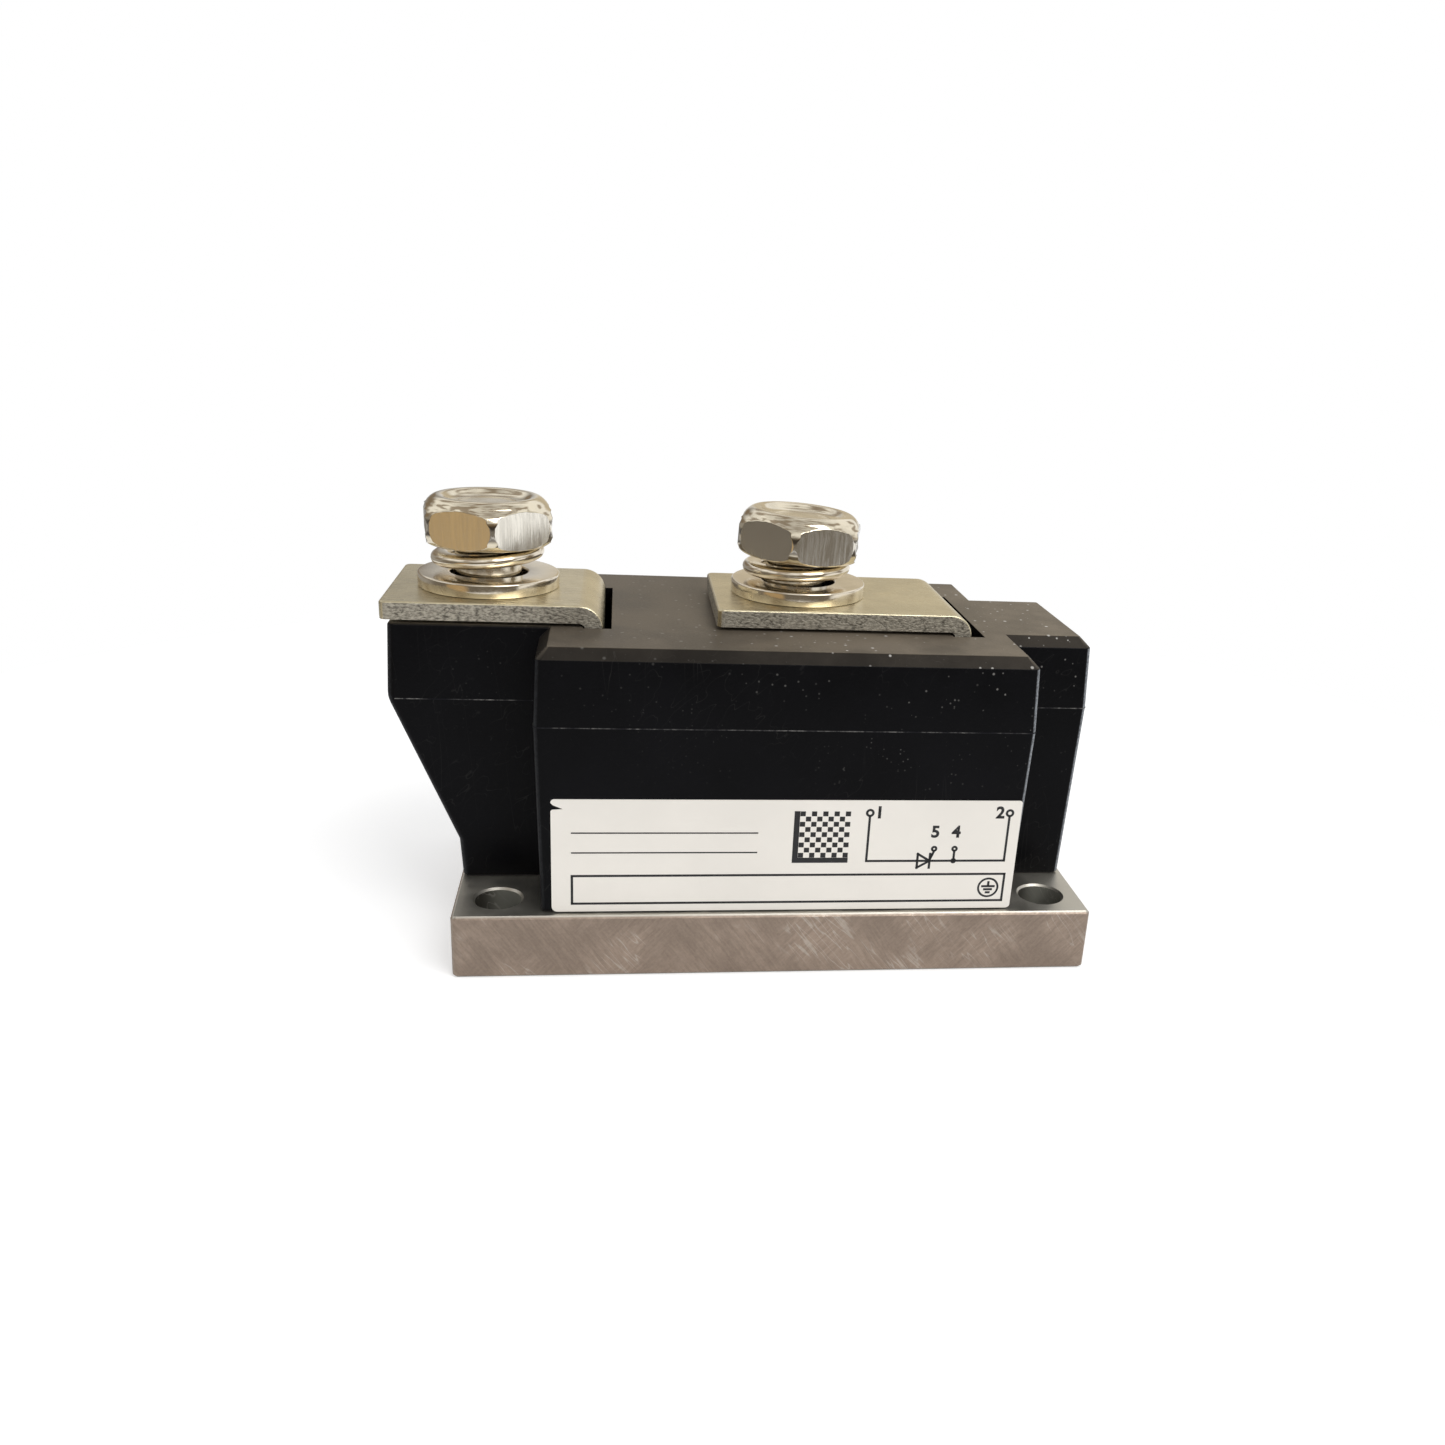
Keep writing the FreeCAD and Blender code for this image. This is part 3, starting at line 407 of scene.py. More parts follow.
def span(tree, share, low, high):
    """Smooth step between two values as a share runs from 0 to 1."""
    return ramp(tree, share, 0.0, 1.0, low, high)


def blend(tree, share, *colours):
    """Mixes two colours; each may be a socket or plain values."""
    first, second = [c if isinstance(c, bpy.types.NodeSocket) else (*c, 1.0) for c in colours]
    return add(tree, "Mix", {0: share, 6: first, 7: second}, data_type="RGBA").outputs[2]


def effect(name, inputs, build):
    """Node group with one output, a mask from 0 to 1, built the first time it is asked for."""
    group = bpy.data.node_groups.get(name)
    if group is None:
        group = bpy.data.node_groups.new(name, "ShaderNodeTree")
        for label, default in inputs.items():
            kind = "NodeSocketVector" if isinstance(default, tuple) else "NodeSocketFloat"
            socket = group.interface.new_socket(name=label, in_out="INPUT", socket_type=kind)
            socket.default_value = default
        group.interface.new_socket(name="Mask", in_out="OUTPUT", socket_type="NodeSocketFloat")
        entry, leave = group.nodes.new("NodeGroupInput"), group.nodes.new("NodeGroupOutput")
        where = add(group, "TexCoord").outputs["Object"]
        group.links.new(build(group, entry.outputs, where), leave.inputs["Mask"])
    return group


def mottle(group, given, where):
    """Soft patches: uneven plating, handling marks."""
    noise = add(group, "TexNoise", {"Vector": where, "Scale": given["Scale"], "Detail": 4.0, "Roughness": 0.6})
    low = maths(group, "SUBTRACT", 0.5, given["Spread"])
    high = maths(group, "ADD", 0.5, given["Spread"])
    return ramp(group, noise.outputs[0], low, high)


def stretched(group, given, where, detail, roughness):
    """Noise turned and stretched to a size for each axis."""
    moved = add(group, "Mapping", {"Vector": where, "Rotation": given["Turn"], "Scale": given["Grain"]},
                vector_type="TEXTURE").outputs[0]
    return add(group, "TexNoise", {"Vector": moved, "Scale": 1.0, "Detail": detail,
                                   "Roughness": roughness}).outputs[0]


def grain(group, given, where):
    """Streaks where one axis is long, or an even grain."""
    return ramp(group, stretched(group, given, where, 3.0, 0.65), 0.3, 0.7)


def scratches(group, given, where):
    """Thin hairlines along one direction, broken up by patches."""
    off = maths(group, "ABSOLUTE", maths(group, "SUBTRACT", stretched(group, given, where, 1.5, 0.5), 0.5))
    line = ramp(group, off, 0.0, given["Width"], 1.0, 0.0)
    patches = add(group, "TexNoise", {"Vector": where, "Scale": given["Patch"], "Detail": 2.0})
    return times(group, line, ramp(group, patches.outputs[0], 0.48, 0.62))


def specks(group, given, where):
    """Scattered dust: small dots in a share of the cells of a cell pattern."""
    cells = add(group, "TexVoronoi", {"Vector": where, "Scale": given["Scale"]})
    parts = add(group, "SeparateColor", {"Color": cells.outputs["Color"]})
    chosen = maths(group, "GREATER_THAN", parts.outputs[0], maths(group, "SUBTRACT", 1.0, given["Share"]))
    size = times(group, parts.outputs[1], given["Size"])
    return times(group, ramp(group, cells.outputs["Distance"], times(group, size, 0.4), size, 1.0, 0.0), chosen)


NO_TURN = (0.0, 0.0, 0.0)
EFFECTS = {
    "Mottle": ({"Scale": 200.0, "Spread": 0.15}, mottle),
    "Grain": ({"Turn": NO_TURN, "Grain": (0.3 * MM, 0.3 * MM, 0.3 * MM)}, grain),
    "Scratches": ({"Turn": NO_TURN, "Grain": (1.6 * MM, 1.6 * MM, 30 * MM), "Width": 0.01, "Patch": 60.0},
                  scratches),
    "Specks": ({"Scale": 600.0, "Share": 0.1, "Size": 0.3}, specks),
}


def mask(tree, name, **values):
    """Places a shared effect in a material, with values of its own; its grain is in millimetres."""
    inputs, build = EFFECTS[name]
    made = tree.nodes.new("ShaderNodeGroup")
    made.node_tree = effect(name, inputs, build)
    for label, value in values.items():
        made.inputs[label.title()].default_value = [v * MM for v in value] if label == "grain" else value
    return made.outputs["Mask"]


def new_finish(slot):
    """New material with its node tree and its shader."""
    material = bpy.data.materials.new("finish_" + slot)
    material.use_nodes = True
    return material, material.node_tree, material.node_tree.nodes["Principled BSDF"]


def wire(tree, shader, colour, roughness, height, relief):
    """Feeds a shader its changing colour, roughness and fine relief."""
    tree.links.new(colour, shader.inputs["Base Color"])
    tree.links.new(roughness, shader.inputs["Roughness"])
    bump = add(tree, "Bump", {"Height": height, "Strength": 1.0, "Distance": relief})
    tree.links.new(bump.outputs[0], shader.inputs["Normal"])


# slot: colour, how dark its patches go, roughness from and to, grain for each axis and relief in millimetres
METALS = {
    "zinc_steel": ((0.62, 0.62, 0.60), 0.72, (0.28, 0.42), (0.7, 0.7, 0.7), 0.004),
    "spring_steel": ((0.22, 0.21, 0.20), 0.6, (0.34, 0.5), (0.4, 0.4, 0.4), 0.004),
    "bright_washer": ((0.84, 0.76, 0.62), 0.88, (0.1, 0.2), (0.5, 0.5, 0.4), 0.001),
    "molybdenum": ((0.42, 0.42, 0.43), 0.8, (0.36, 0.5), (0.25, 0.25, 0.25), 0.003),
    "silicon": ((0.13, 0.14, 0.17), 0.75, (0.12, 0.2), (0.33, 0.33, 0.33), 0.001),
    "gold_contact": ((0.83, 0.58, 0.24), 0.85, (0.2, 0.32), (0.33, 0.33, 0.33), 0.002),
    "plated_tab": ((0.72, 0.71, 0.67), 0.75, (0.22, 0.36), (3.3, 0.4, 0.4), 0.003),
    "copper_lead": ((0.72, 0.36, 0.20), 0.7, (0.28, 0.4), (0.8, 0.8, 0.8), 0.003),
}
# slot: colour, how dark its patches go, roughness from and to, grain and relief in millimetres
PLASTICS = {
    "sealant": ((0.030, 0.029, 0.028), 0.6, (0.45, 0.6), 1.1, 0.03),
    "white_ceramic": ((0.78, 0.77, 0.74), 0.93, (0.35, 0.5), 0.2, 0.003),
    "natural_plastic": ((0.60, 0.54, 0.42), 0.9, (0.4, 0.5), 0.4, 0.004),
    "guard_rubber": ((0.20, 0.050, 0.030), 0.8, (0.5, 0.62), 0.55, 0.01),
}


# Each finish gives its colour, roughness, height and relief

SATIN = 0.08
WORN_METAL = (0.9, 0.88, 0.82)
WORN_BOLT = (0.9, 0.87, 0.8)
WORN_NICKEL = (0.72, 0.68, 0.62)
WORN_STRIP = (0.88, 0.85, 0.76)


def plain_metal(tree, shader, tone, dark, rough, fibre, relief):
    """Metal with uneven patches, a grain and a few scratches."""
    shader.inputs["Metallic"].default_value = 1.0
    patches = mask(tree, "Mottle", scale=260.0, spread=0.16)
    streaks = mask(tree, "Grain", grain=fibre)
    lines = mask(tree, "Scratches", grain=(1.11, 1.11, 16.67), turn=(0.3, 0.9, 0.4), width=0.012)
    shade = blend(tree, patches, dim(tone, dark), tone)
    shade = blend(tree, times(tree, lines, 0.25), shade, WORN_METAL)
    uneven = plus(tree, times(tree, patches, 0.5), times(tree, streaks, 0.5))
    return shade, span(tree, uneven, *rough), streaks, relief * MM


def plain_plastic(tree, tone, dark, rough, size, relief):
    """Plastic, rubber or ceramic with uneven patches and a fine grain."""
    patches = mask(tree, "Mottle", scale=180.0, spread=0.2)
    fine = mask(tree, "Grain", grain=(size, size, size))
    shade = blend(tree, patches, dim(tone, dark), tone)
    return shade, span(tree, fine, *rough), fine, relief * MM


def black_housing(tree, shader, tones):
    """Black moulding compound: a dusty top painted lighter towards the right, specks, faint scratches, and upright
    edges rubbed pale with a painted highlight that is strongest on the right.
    """
    shader.inputs["Specular IOR Level"].default_value = SATIN
    where, facing = axes(tree, "Object"), axes(tree, "Normal")
    patches = mask(tree, "Mottle", scale=70.0, spread=0.2)
    fine = mask(tree, "Grain", grain=(0.38, 0.38, 0.38))

    slanting = mask(tree, "Scratches", grain=(2.4, 2.4, 38.0), turn=(0.4, 0.7, 0.0), width=0.005, patch=45.0)
    upright = mask(tree, "Scratches", grain=(3.3, 3.3, 70.0), turn=(0.0, -0.06, 0.0), width=0.003, patch=38.0)
    scratched = times(tree, highest(tree, slanting, upright), 0.022)

    dust = mask(tree, "Specks", scale=1700.0, share=0.22, size=0.36)
    grit = mask(tree, "Specks", scale=800.0, share=0.12, size=0.26)
    strewn = mask(tree, "Mottle", scale=75.0, spread=0.08)
    specks_all_round = times(tree, highest(tree, times(tree, dust, 0.8), grit), strewn, 0.3)
    flakes = times(tree, mask(tree, "Specks", scale=760.0, share=0.7, size=0.27),
                   ramp(tree, facing["Z"], 0.6, 0.8))
    dusty_end = times(tree, ramp(tree, where["X"], -0.02, 0.012, 0.15, 1.0),
                      ramp(tree, where["Z"], 0.026, 0.045, 0.1, 1.0))
    spots = times(tree, highest(tree, flakes, specks_all_round), dusty_end)

    # Upright edges rubbed pale, with a painted highlight: almost only on the right half
    edge = ramp(tree, maths(tree, "ABSOLUTE", times(tree, facing["X"], facing["Y"])), 0.28, 0.48)
    chafed_and_highlight = times(tree, edge, ramp(tree, where["X"], 0.0, 0.03, 0.04, 0.75), span(tree, fine, 0.4, 1.0))
    film = times(tree, ramp(tree, facing["Z"], 0.62, 0.97), span(tree, patches, 0.6, 1.0))
    # Painted light: the dust film grows half again lighter towards the right
    dust_film_and_painted_light = blend(tree, ramp(tree, where["X"], -0.03, 0.04), tones.film, dim(tones.film, 1.5))

    shade = blend(tree, patches, tones.plastic, dim(tones.plastic, 1.7))
    shade = blend(tree, film, shade, dust_film_and_painted_light)
    shade = blend(tree, chafed_and_highlight, shade, tones.chafed_and_highlight)
    shade = blend(tree, highest(tree, scratched, spots), shade, tones.dust)
    uneven = plus(tree, times(tree, patches, 0.6), times(tree, fine, 0.4))
    return shade, span(tree, uneven, 0.30, 0.42), fine, 0.006 * MM


def mould_flash(tree, shader, tones):
    """Rubbed flash on the parting line, with dust caught on it."""
    shader.inputs["Specular IOR Level"].default_value = SATIN
    broken = mask(tree, "Grain", grain=(0.9, 0.9, 0.9))
    rubbed = mask(tree, "Mottle", scale=160.0, spread=0.12)
    shade = blend(tree, times(tree, broken, rubbed, 0.35), dim(tones.plastic, 5.0), tones.dust)
    return shade, span(tree, broken, 0.4, 0.6), broken, 0.01 * MM


def nickel_base(tree, shader, tones):
    """Matt nickel: sawn outer sides with slanting cuts in two directions, a smoother top and bored holes."""
    where, facing = axes(tree, "Object"), axes(tree, "Normal")
    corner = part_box("baseplate")[1]
    inside = [ramp(tree, maths(tree, "ABSOLUTE", where[axis]), reach - 0.4 * MM, reach - 0.1 * MM, 1.0, 0.0)
              for axis, reach in (("X", corner.x), ("Y", corner.y))]
    top = times(tree, *inside)
    bored = times(tree, top, ramp(tree, facing["Z"], 0.3, 0.7, 1.0, 0.0))
    tree.links.new(span(tree, bored, 0.9, 0.5), shader.inputs["Metallic"])

    stains = mask(tree, "Mottle", scale=110.0, spread=0.14)
    fine = mask(tree, "Grain", grain=(0.38, 0.38, 0.38))
    swept = mask(tree, "Mottle", scale=60.0, spread=0.06)
    left_cuts = mask(tree, "Grain", grain=(0.34, 0.34, 3.6), turn=(0.0, -0.62, 0.0))
    right_cuts = mask(tree, "Grain", grain=(0.34, 0.34, 2.6), turn=(0.0, 0.75, 0.0))
    cuts = between(tree, swept, left_cuts, right_cuts)
    lines = mask(tree, "Scratches", grain=(1.0, 1.0, 10.0), turn=(0.0, -0.7, 0.0), width=0.03, patch=110.0)

    sawn = blend(tree, stains, dim(tones.nickel, 0.88), dim(tones.nickel, 1.16))
    sawn = blend(tree, times(tree, cuts, 0.5), sawn, dim(tones.nickel, 0.62))
    ground = blend(tree, stains, dim(tones.nickel_top, 0.85), tones.nickel_top)
    ground = blend(tree, bored, ground, tones.bore)
    ground = blend(tree, times(tree, bored, ramp(tree, facing["X"], -0.3, 0.9)), ground, tones.bore_shade)
    shade = blend(tree, top, sawn, ground)
    shade = blend(tree, times(tree, lines, 0.3), shade, WORN_NICKEL)
    height = plus(tree, times(tree, fine, 0.3), times(tree, cuts, -1.0))
    height = times(tree, height, span(tree, top, 1.0, 0.04))
    rough = between(tree, top, span(tree, fine, 0.4, 0.56), span(tree, stains, 0.3, 0.44))
    return shade, rough, height, 0.012 * MM


def bright_bolt(tree, shader, tones):
    """Bright nickel: polished on the forged skin, brushed upright on the milled flats, with a painted dark
    reflection round their rims.
    """
    shader.inputs["Metallic"].default_value = 1.0
    tilt = maths(tree, "ABSOLUTE", axes(tree, "Normal")["Z"])
    milled = ramp(tree, tilt, 0.08, 0.2, 1.0, 0.0)
    # Painted dark reflection along the rounded rims of the flats and the corners between them
    rim = times(tree, ramp(tree, tilt, 0.03, 0.09), ramp(tree, tilt, 0.12, 0.26, 1.0, 0.0))
    patches = mask(tree, "Mottle", scale=300.0, spread=0.16)
    brushed = mask(tree, "Grain", grain=(0.5, 0.5, 9.0))
    lines = mask(tree, "Scratches", grain=(0.91, 0.91, 16.67), turn=(0.3, 0.9, 0.4), width=0.012)
    forged = blend(tree, patches, dim(tones.bolt, 0.85), tones.bolt)
    flat = blend(tree, times(tree, brushed, 0.3), tones.milled, dim(tones.milled, 0.6))
    shade = blend(tree, milled, forged, flat)
    shade = blend(tree, times(tree, lines, 0.3), shade, WORN_BOLT)
    shade = blend(tree, times(tree, rim, 0.8), shade, tones.rim)
    polished = span(tree, patches, 0.14, 0.08)
    rough = between(tree, milled, polished, span(tree, brushed, 0.1, 0.18))
    return shade, rough, times(tree, brushed, milled), 0.004 * MM


def plated_strip(tree, shader, tones):
    """Plated copper strip: satin broad faces, and torn, mottled faces where it was sheared."""
    facing = axes(tree, "Normal")
    left_end = times(tree, facing["X"], -1.0)
    sheared = ramp(tree, highest(tree, maths(tree, "ABSOLUTE", facing["Y"]), left_end), 0.85, 0.97)
    tree.links.new(span(tree, sheared, 1.0, 0.5), shader.inputs["Metallic"])
    stains = mask(tree, "Mottle", scale=140.0, spread=0.16)
    rolled = mask(tree, "Grain", grain=(3.85, 0.38, 0.38))
    torn = mask(tree, "Grain", grain=(0.62, 0.28, 0.28))
    blotches = mask(tree, "Mottle", scale=420.0, spread=0.10)
    lines = mask(tree, "Scratches", grain=(1.25, 1.25, 16.67), turn=(0.0, 0.5, 1.1), width=0.012, patch=60.0)
    broad = blend(tree, stains, dim(tones.strip, 0.86), tones.strip)
    broad = blend(tree, times(tree, lines, 0.3), broad, WORN_STRIP)
    rough_face = blend(tree, times(tree, torn, 0.9), tones.sheared, tones.torn)
    rough_face = blend(tree, times(tree, blotches, 0.35), rough_face, dim(tones.sheared, 0.96))
    shade = blend(tree, sheared, broad, rough_face)
    rough = between(tree, sheared, span(tree, rolled, 0.26, 0.36), span(tree, torn, 0.40, 0.62))
    pits = times(tree, torn, sheared, -4.0)
    return shade, rough, plus(tree, times(tree, rolled, 0.3), pits), 0.012 * MM


def label_stock(tree, shader, tones):
    """Coated paper with a slight unevenness, a few stains and ripples."""
    stains = mask(tree, "Mottle", scale=45.0, spread=0.2)
    ripples = mask(tree, "Mottle", scale=90.0, spread=0.3)
    dots = mask(tree, "Specks", scale=260.0, share=0.03, size=0.2)
    shade = blend(tree, stains, dim(tones.paper, 0.94), tones.paper)
    shade = blend(tree, times(tree, dots, 0.5), shade, (0.35, 0.32, 0.28))
    return shade, span(tree, ripples, 0.38, 0.48), ripples, 0.02 * MM


def label_ink(tree, shader, tones):
    """Black print, a little worn."""
    wear = mask(tree, "Mottle", scale=900.0, spread=0.1)
    shade = blend(tree, wear, tones.ink, dim(tones.ink, 2.5))
    return shade, span(tree, wear, 0.4, 0.5), wear, 0.001 * MM


SPECIAL = {build.__name__: build for build in (black_housing, mould_flash, nickel_base, bright_bolt, plated_strip,
                                               label_stock, label_ink)}


def finish(slot):
    """The material of a slot, made the first time it is asked for."""
    made = bpy.data.materials.get("finish_" + slot)
    if made is None:
        made, tree, shader = new_finish(slot)
        if slot in METALS:
            looks = plain_metal(tree, shader, *METALS[slot])
        elif slot in PLASTICS:
            looks = plain_plastic(tree, *PLASTICS[slot])
        else:
            looks = SPECIAL[slot](tree, shader, settings("colours"))
        wire(tree, shader, *looks)
    return made


def dress(*nodes):
    """Gives CAD nodes that stay the finish of their own slot."""
    for name in nodes:
        obj = frame["nodes"][name]
        for held in obj.material_slots:
            held.material = finish(held.material.name)


# Bolts and washers, each modelled in its bolt's own frame: bearing face at Z = 0, shank down

def bolt_frame(side):
    """Where the bolt's frame stands: on its joint's axis, with the bearing face under the head."""
    joint = next(j for j in frame["joints"] if j["name"] == side + "_bolt_turn")
    origin, axis = Vector(joint["pos_m"]), Vector(joint["axis"]).normalized()
    top = reach_along(side + "_terminal_bolt", origin, axis)
    lean = UP.rotation_difference(axis).to_matrix().to_4x4()
    return Matrix.Translation(origin + axis * (top - settings("bolt").head_height)) @ lean


def hex_bolt(name):
    """Forged head milled to a hexagon, plain neck and a rolled thread."""
    s = settings("bolt")
    flat, foot, neck, end = s.flats / 2, -s.head_drop, s.neck_radius, -s.neck_length
    dish = [(-4.55, 0.95), (-3.45, 0.78), (-2.85, 0.45), (-2.45, 0.15), (-2.05, 0.03), (-1.65, 0.0), (-1.35, 0.04),
            (-1.0, 0.17), (-0.6, 0.45), (-0.22, 0.85)]
    shoulder = [(-0.05, 0.0), (0.28, 0.2), (0.6, 0.48), (0.88, 0.85), (1.05, 1.3), (1.15, 1.9)]
    skirt = [(1.18, 2.75), (1.15, 2.0), (1.05, 1.35), (0.88, 0.85), (0.6, 0.48), (0.28, 0.2), (-0.05, 0.02),
             (-0.4, 0.0)]
    profile = [(0, s.head_height - MM)]
    for outline, level, way in ((dish, s.head_height, -MM), (shoulder, s.flat_top, -MM), (skirt, foot, MM)):
        profile += [(flat + out * MM, level + off * way) for out, off in outline]
    profile += [(neck + 0.35 * MM, foot), (neck + 0.1 * MM, foot - 0.1 * MM), (neck, foot - 0.35 * MM), (neck, end),
                (neck - 0.35 * MM, end - 0.5 * MM), (0, end - 0.5 * MM)]
    head = lathe(name, profile)
    for x, y in arc(0, 0, 1, 0, range(0, 360, 60)):
        normal = Vector((x, y, 0))
        slice_off(head, normal * flat, normal)
    pick(head, "polygons", lambda f: f.area > 20 * MM * MM and abs(f.normal.z) < 0.01)
    with editing(head, "FACE"):
        bpy.ops.mesh.region_to_loop()
        bpy.ops.mesh.bevel(offset=s.flat_softness, segments=3, affect="EDGES", clamp_overlap=False)
        weld()

    crest, root, pitch, tip = s.thread_radius, s.thread_radius - s.thread_depth, s.thread_pitch, -s.shank_length
    rounds = math.ceil((s.shank_length - s.neck_length) / pitch) + 2
    zigzag = [(crest, 0.0), (crest, 0.16), (root, 0.5), (root, 0.62), (crest, 0.96), (crest, 1.0)]
    zigzag = [(r, tip - pitch + share * pitch) for r, share in zigzag]
    thread = helix(name + "_thread", zigzag, pitch, (1, rounds), closed=False)
    slice_off(thread, (0, 0, end), UP)
    slice_off(thread, (0, 0, tip + 0.8 * MM), -UP)
    core = lathe(name + "_tip", [(0, tip), (root - 0.5 * MM, tip), (root, tip + 0.5 * MM), (root, tip + 1.2 * MM),
                                 (0, tip + 1.2 * MM)], steps=48)
    with editing(thread):
        weld()
    return join(name, [head, thread, core])


def split_washer(name):
    """Rolled section swept round once, with a gap at the back and one end standing higher."""
    s = settings("washer")
    inner, outer, high, r = s.split_inner, s.split_outer, s.split_thickness, s.split_round
    corners = [(outer - r, r, -90), (outer - r, high - r, 0), (inner + r, high - r, 90), (inner + r, r, 180)]
    section = [point for x, z, start in corners for point in arc(x, z, r, start, (0, 22.5, 45, 67.5, 90))]
    share = 1 - s.split_gap / math.tau
    washer = helix(name, section, s.split_rise, (share, 1), closed=True, steps=120)
    with editing(washer):
        bpy.ops.mesh.select_all(action="DESELECT")
        bpy.ops.mesh.select_non_manifold()
        bpy.ops.mesh.fill_holes(sides=0)
        weld()
    turned = Matrix.Rotation(math.pi / 2 + s.split_gap / 2, 4, "Z")
    place(washer, Matrix.Rotation(-s.split_tilt, 4, "Y") @ turned)
    top = max(v.co.z for v in washer.data.vertices)
    return place(washer, Matrix.Translation((0, 0, -settings("bolt").head_drop - s.split_clearance - top)))


def punched_washer(name, node):
    """Flat washer with the punch's rolled edge at the top and a sharp one below."""
    s = settings("washer")
    low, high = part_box(node)
    bore, outer, thick, r = s.flat_bore, (high.x - low.x) / 2, high.z - low.z, s.flat_round
    rolled = [(0.0, 1.0), (0.08, 0.62), (0.29, 0.29), (0.62, 0.08), (1.0, 0.0)]
    section = [(bore, 0.08 * MM), (bore + 0.08 * MM, 0), (outer - 0.18 * MM, 0), (outer - 0.05 * MM, 0.07 * MM),
               (outer, 0.24 * MM)]
    section += [(outer - inward * r, thick - down * r) for inward, down in rolled]
    section += [(bore + outward * r, thick - down * r) for outward, down in reversed(rolled)]
    washer = lathe(name, section, steps=128, closed=True)
    middle = (low + high) / 2
    return place(washer, Matrix.Translation((middle.x, middle.y, low.z)))


class THYRISTOR_OT_bolts(bpy.types.Operator):
    """Model the two terminal bolts with milled heads and rolled threads"""
    bl_idname = "thyristor.bolts"
    bl_label = "Terminal Bolts"

    def execute(self, context):
        s = settings("bolt")
        first = hex_bolt("anode_hex_bolt")
        activate(first)
        bpy.ops.object.duplicate()
        second = named("cathode_hex_bolt")
        for bolt, side, turn in ((first, "anode", s.anode_head_turn), (second, "cathode", s.cathode_head_turn)):
            # A flat of the model faces +X; the hexagon of the source has a corner there
            place(bolt, bolt_frame(side) @ Matrix.Rotation(turn + math.radians(30), 4, "Z"))
            modify(smooth(bolt, 34), "WEIGHTED_NORMAL", weight=100, keep_sharp=True)
            finished(bolt, "bright_bolt", side + "_terminal_bolt", body=side + "_bolt")
        return {"FINISHED"}


class THYRISTOR_OT_washers(bpy.types.Operator):
    """Model the split washers and the punched flat washers"""
    bl_idname = "thyristor.washers"
    bl_label = "Washers"

    def execute(self, context):
        for side in ("anode", "cathode"):
            split = place(split_washer(side + "_split_washer"), bolt_frame(side))
            finished(smooth(split, 40), "bright_washer", side + "_spring_washer", body=side + "_bolt_rise")
            flat = punched_washer(side + "_punched_washer", side + "_flat_washer")
            finished(smooth(flat, 40), "bright_washer", side + "_flat_washer")
        return {"FINISHED"}


# Label print: marks drawn flat in (across, up) millimetres on the label's face, then stood up on it

def bar(points):
    """Filled outline on the label."""
    return draw("mark", [(x * MM, 0, z * MM) for x, z in points], filled=True)


def block(left, low, right, high):
    """Filled rectangle."""
    return bar([(left, low), (right, low), (right, high), (left, high)])


def stroke(x0, z0, x1, z1, width=None):
    """Straight line, as wide as the settings say unless a width is given."""
    width = width or settings("label").stroke / MM
    along = Vector((x1 - x0, z1 - z0)).normalized()
    side = Vector((-along.y, along.x)) * (width / 2)
    end = along * (width / 2)
    a, b = Vector((x0, z0)) - end, Vector((x1, z1)) + end
    return bar([a + side, a - side, b - side, b + side])


def ring(x, z, radius, width=None):
    """Circle drawn with a line, as a flat ring."""
    width = width or settings("label").stroke / MM
    deselect()
    bpy.ops.mesh.primitive_circle_add(vertices=32, radius=(radius + width / 2) * MM, fill_type="NOTHING",
                                      location=(x * MM, 0, z * MM), rotation=(math.pi / 2, 0, 0))
    obj = bpy.context.object
    share = (radius - width / 2) / (radius + width / 2)
    with editing(obj, "EDGE", whole=True):
        bpy.ops.mesh.extrude_edges_move()
        bpy.ops.transform.resize(value=(share, share, share), center_override=(x * MM, 0, z * MM))
    return settle(obj)


def dot(x, z, radius):
    """Filled round mark."""
    return bar(arc(x, z, radius, 0, range(0, 360, 18)))


def digit(text, x, z):
    """Plain numeral centred on a point."""
    deselect()
    bpy.ops.object.text_add(location=(x * MM, 0, z * MM), rotation=(math.pi / 2, 0, 0))
    obj = bpy.context.object
    obj.data.body = text
    obj.data.size = settings("label").digit
    obj.data.offset = 0.035 * obj.data.size
    obj.data.align_x, obj.data.align_y = "CENTER", "CENTER"
    activate(obj)
    bpy.ops.object.convert(target="MESH")
    obj = settle(bpy.context.object)
    with editing(obj):
        weld()
    return obj


def sticker_outline():
    """Outline of the label, with rounded corners and the nick torn in its left edge."""
    left, right, low, high = -32.3, 33.75, -0.1, 17.0
    corners = [(left, low, 0.8, 180), (right, low, 0.6, 270), (right, high, 0.4, 0), (left, high, 0.5, 90)]
    points = []
    for x, z, radius, start in corners:
        x += math.copysign(radius, -x)
        z += radius if z == low else -radius
        points += arc(x, z, radius, start, range(0, 91, 15))
    points += [(left + 0.3, high - 0.85), (left + 1.7, high - 1.45), (left + 0.2, high - 1.55),
               (left, high - 1.75)]
    return bar(points)


def circuit():
    """Terminal symbols 1 and 2, the line between them, and the thyristor with its two control terminals."""
    left, right, line, top = 11.75, 32.05, 7.6, 15.1
    gate_x, sense_x, base_x, bar_x, control_z = 21.5, 24.5, 19.2, 21.0, 9.5
    marks = [ring(left, top, 0.45), ring(right, top, 0.45)]
    marks += [stroke(x, top - 0.55, x, line) for x in (left, right)] + [stroke(left, line, right, line)]
    marks += [ring(gate_x, control_z, 0.3), ring(sense_x, control_z, 0.3), dot(sense_x, line, 0.42)]
    strokes = ((base_x, line - 1.1, base_x, line + 1.1), (base_x, line + 1.1, bar_x, line),
               (base_x, line - 1.1, bar_x, line), (bar_x, line - 1.1, bar_x, line + 1.1),
               (bar_x + 0.1, line + 0.45, gate_x - 0.2, line + 0.95),
               (gate_x - 0.2, line + 0.95, gate_x, control_z - 0.4), (sense_x, control_z - 0.4, sense_x, line))
    marks += [stroke(*ends) for ends in strokes]
    marks += [digit("1", left + 1.35, top), digit("2", right - 1.4, top), digit("5", gate_x - 0.05, control_z + 2.6),
              digit("4", sense_x, control_z + 2.6)]
    return marks


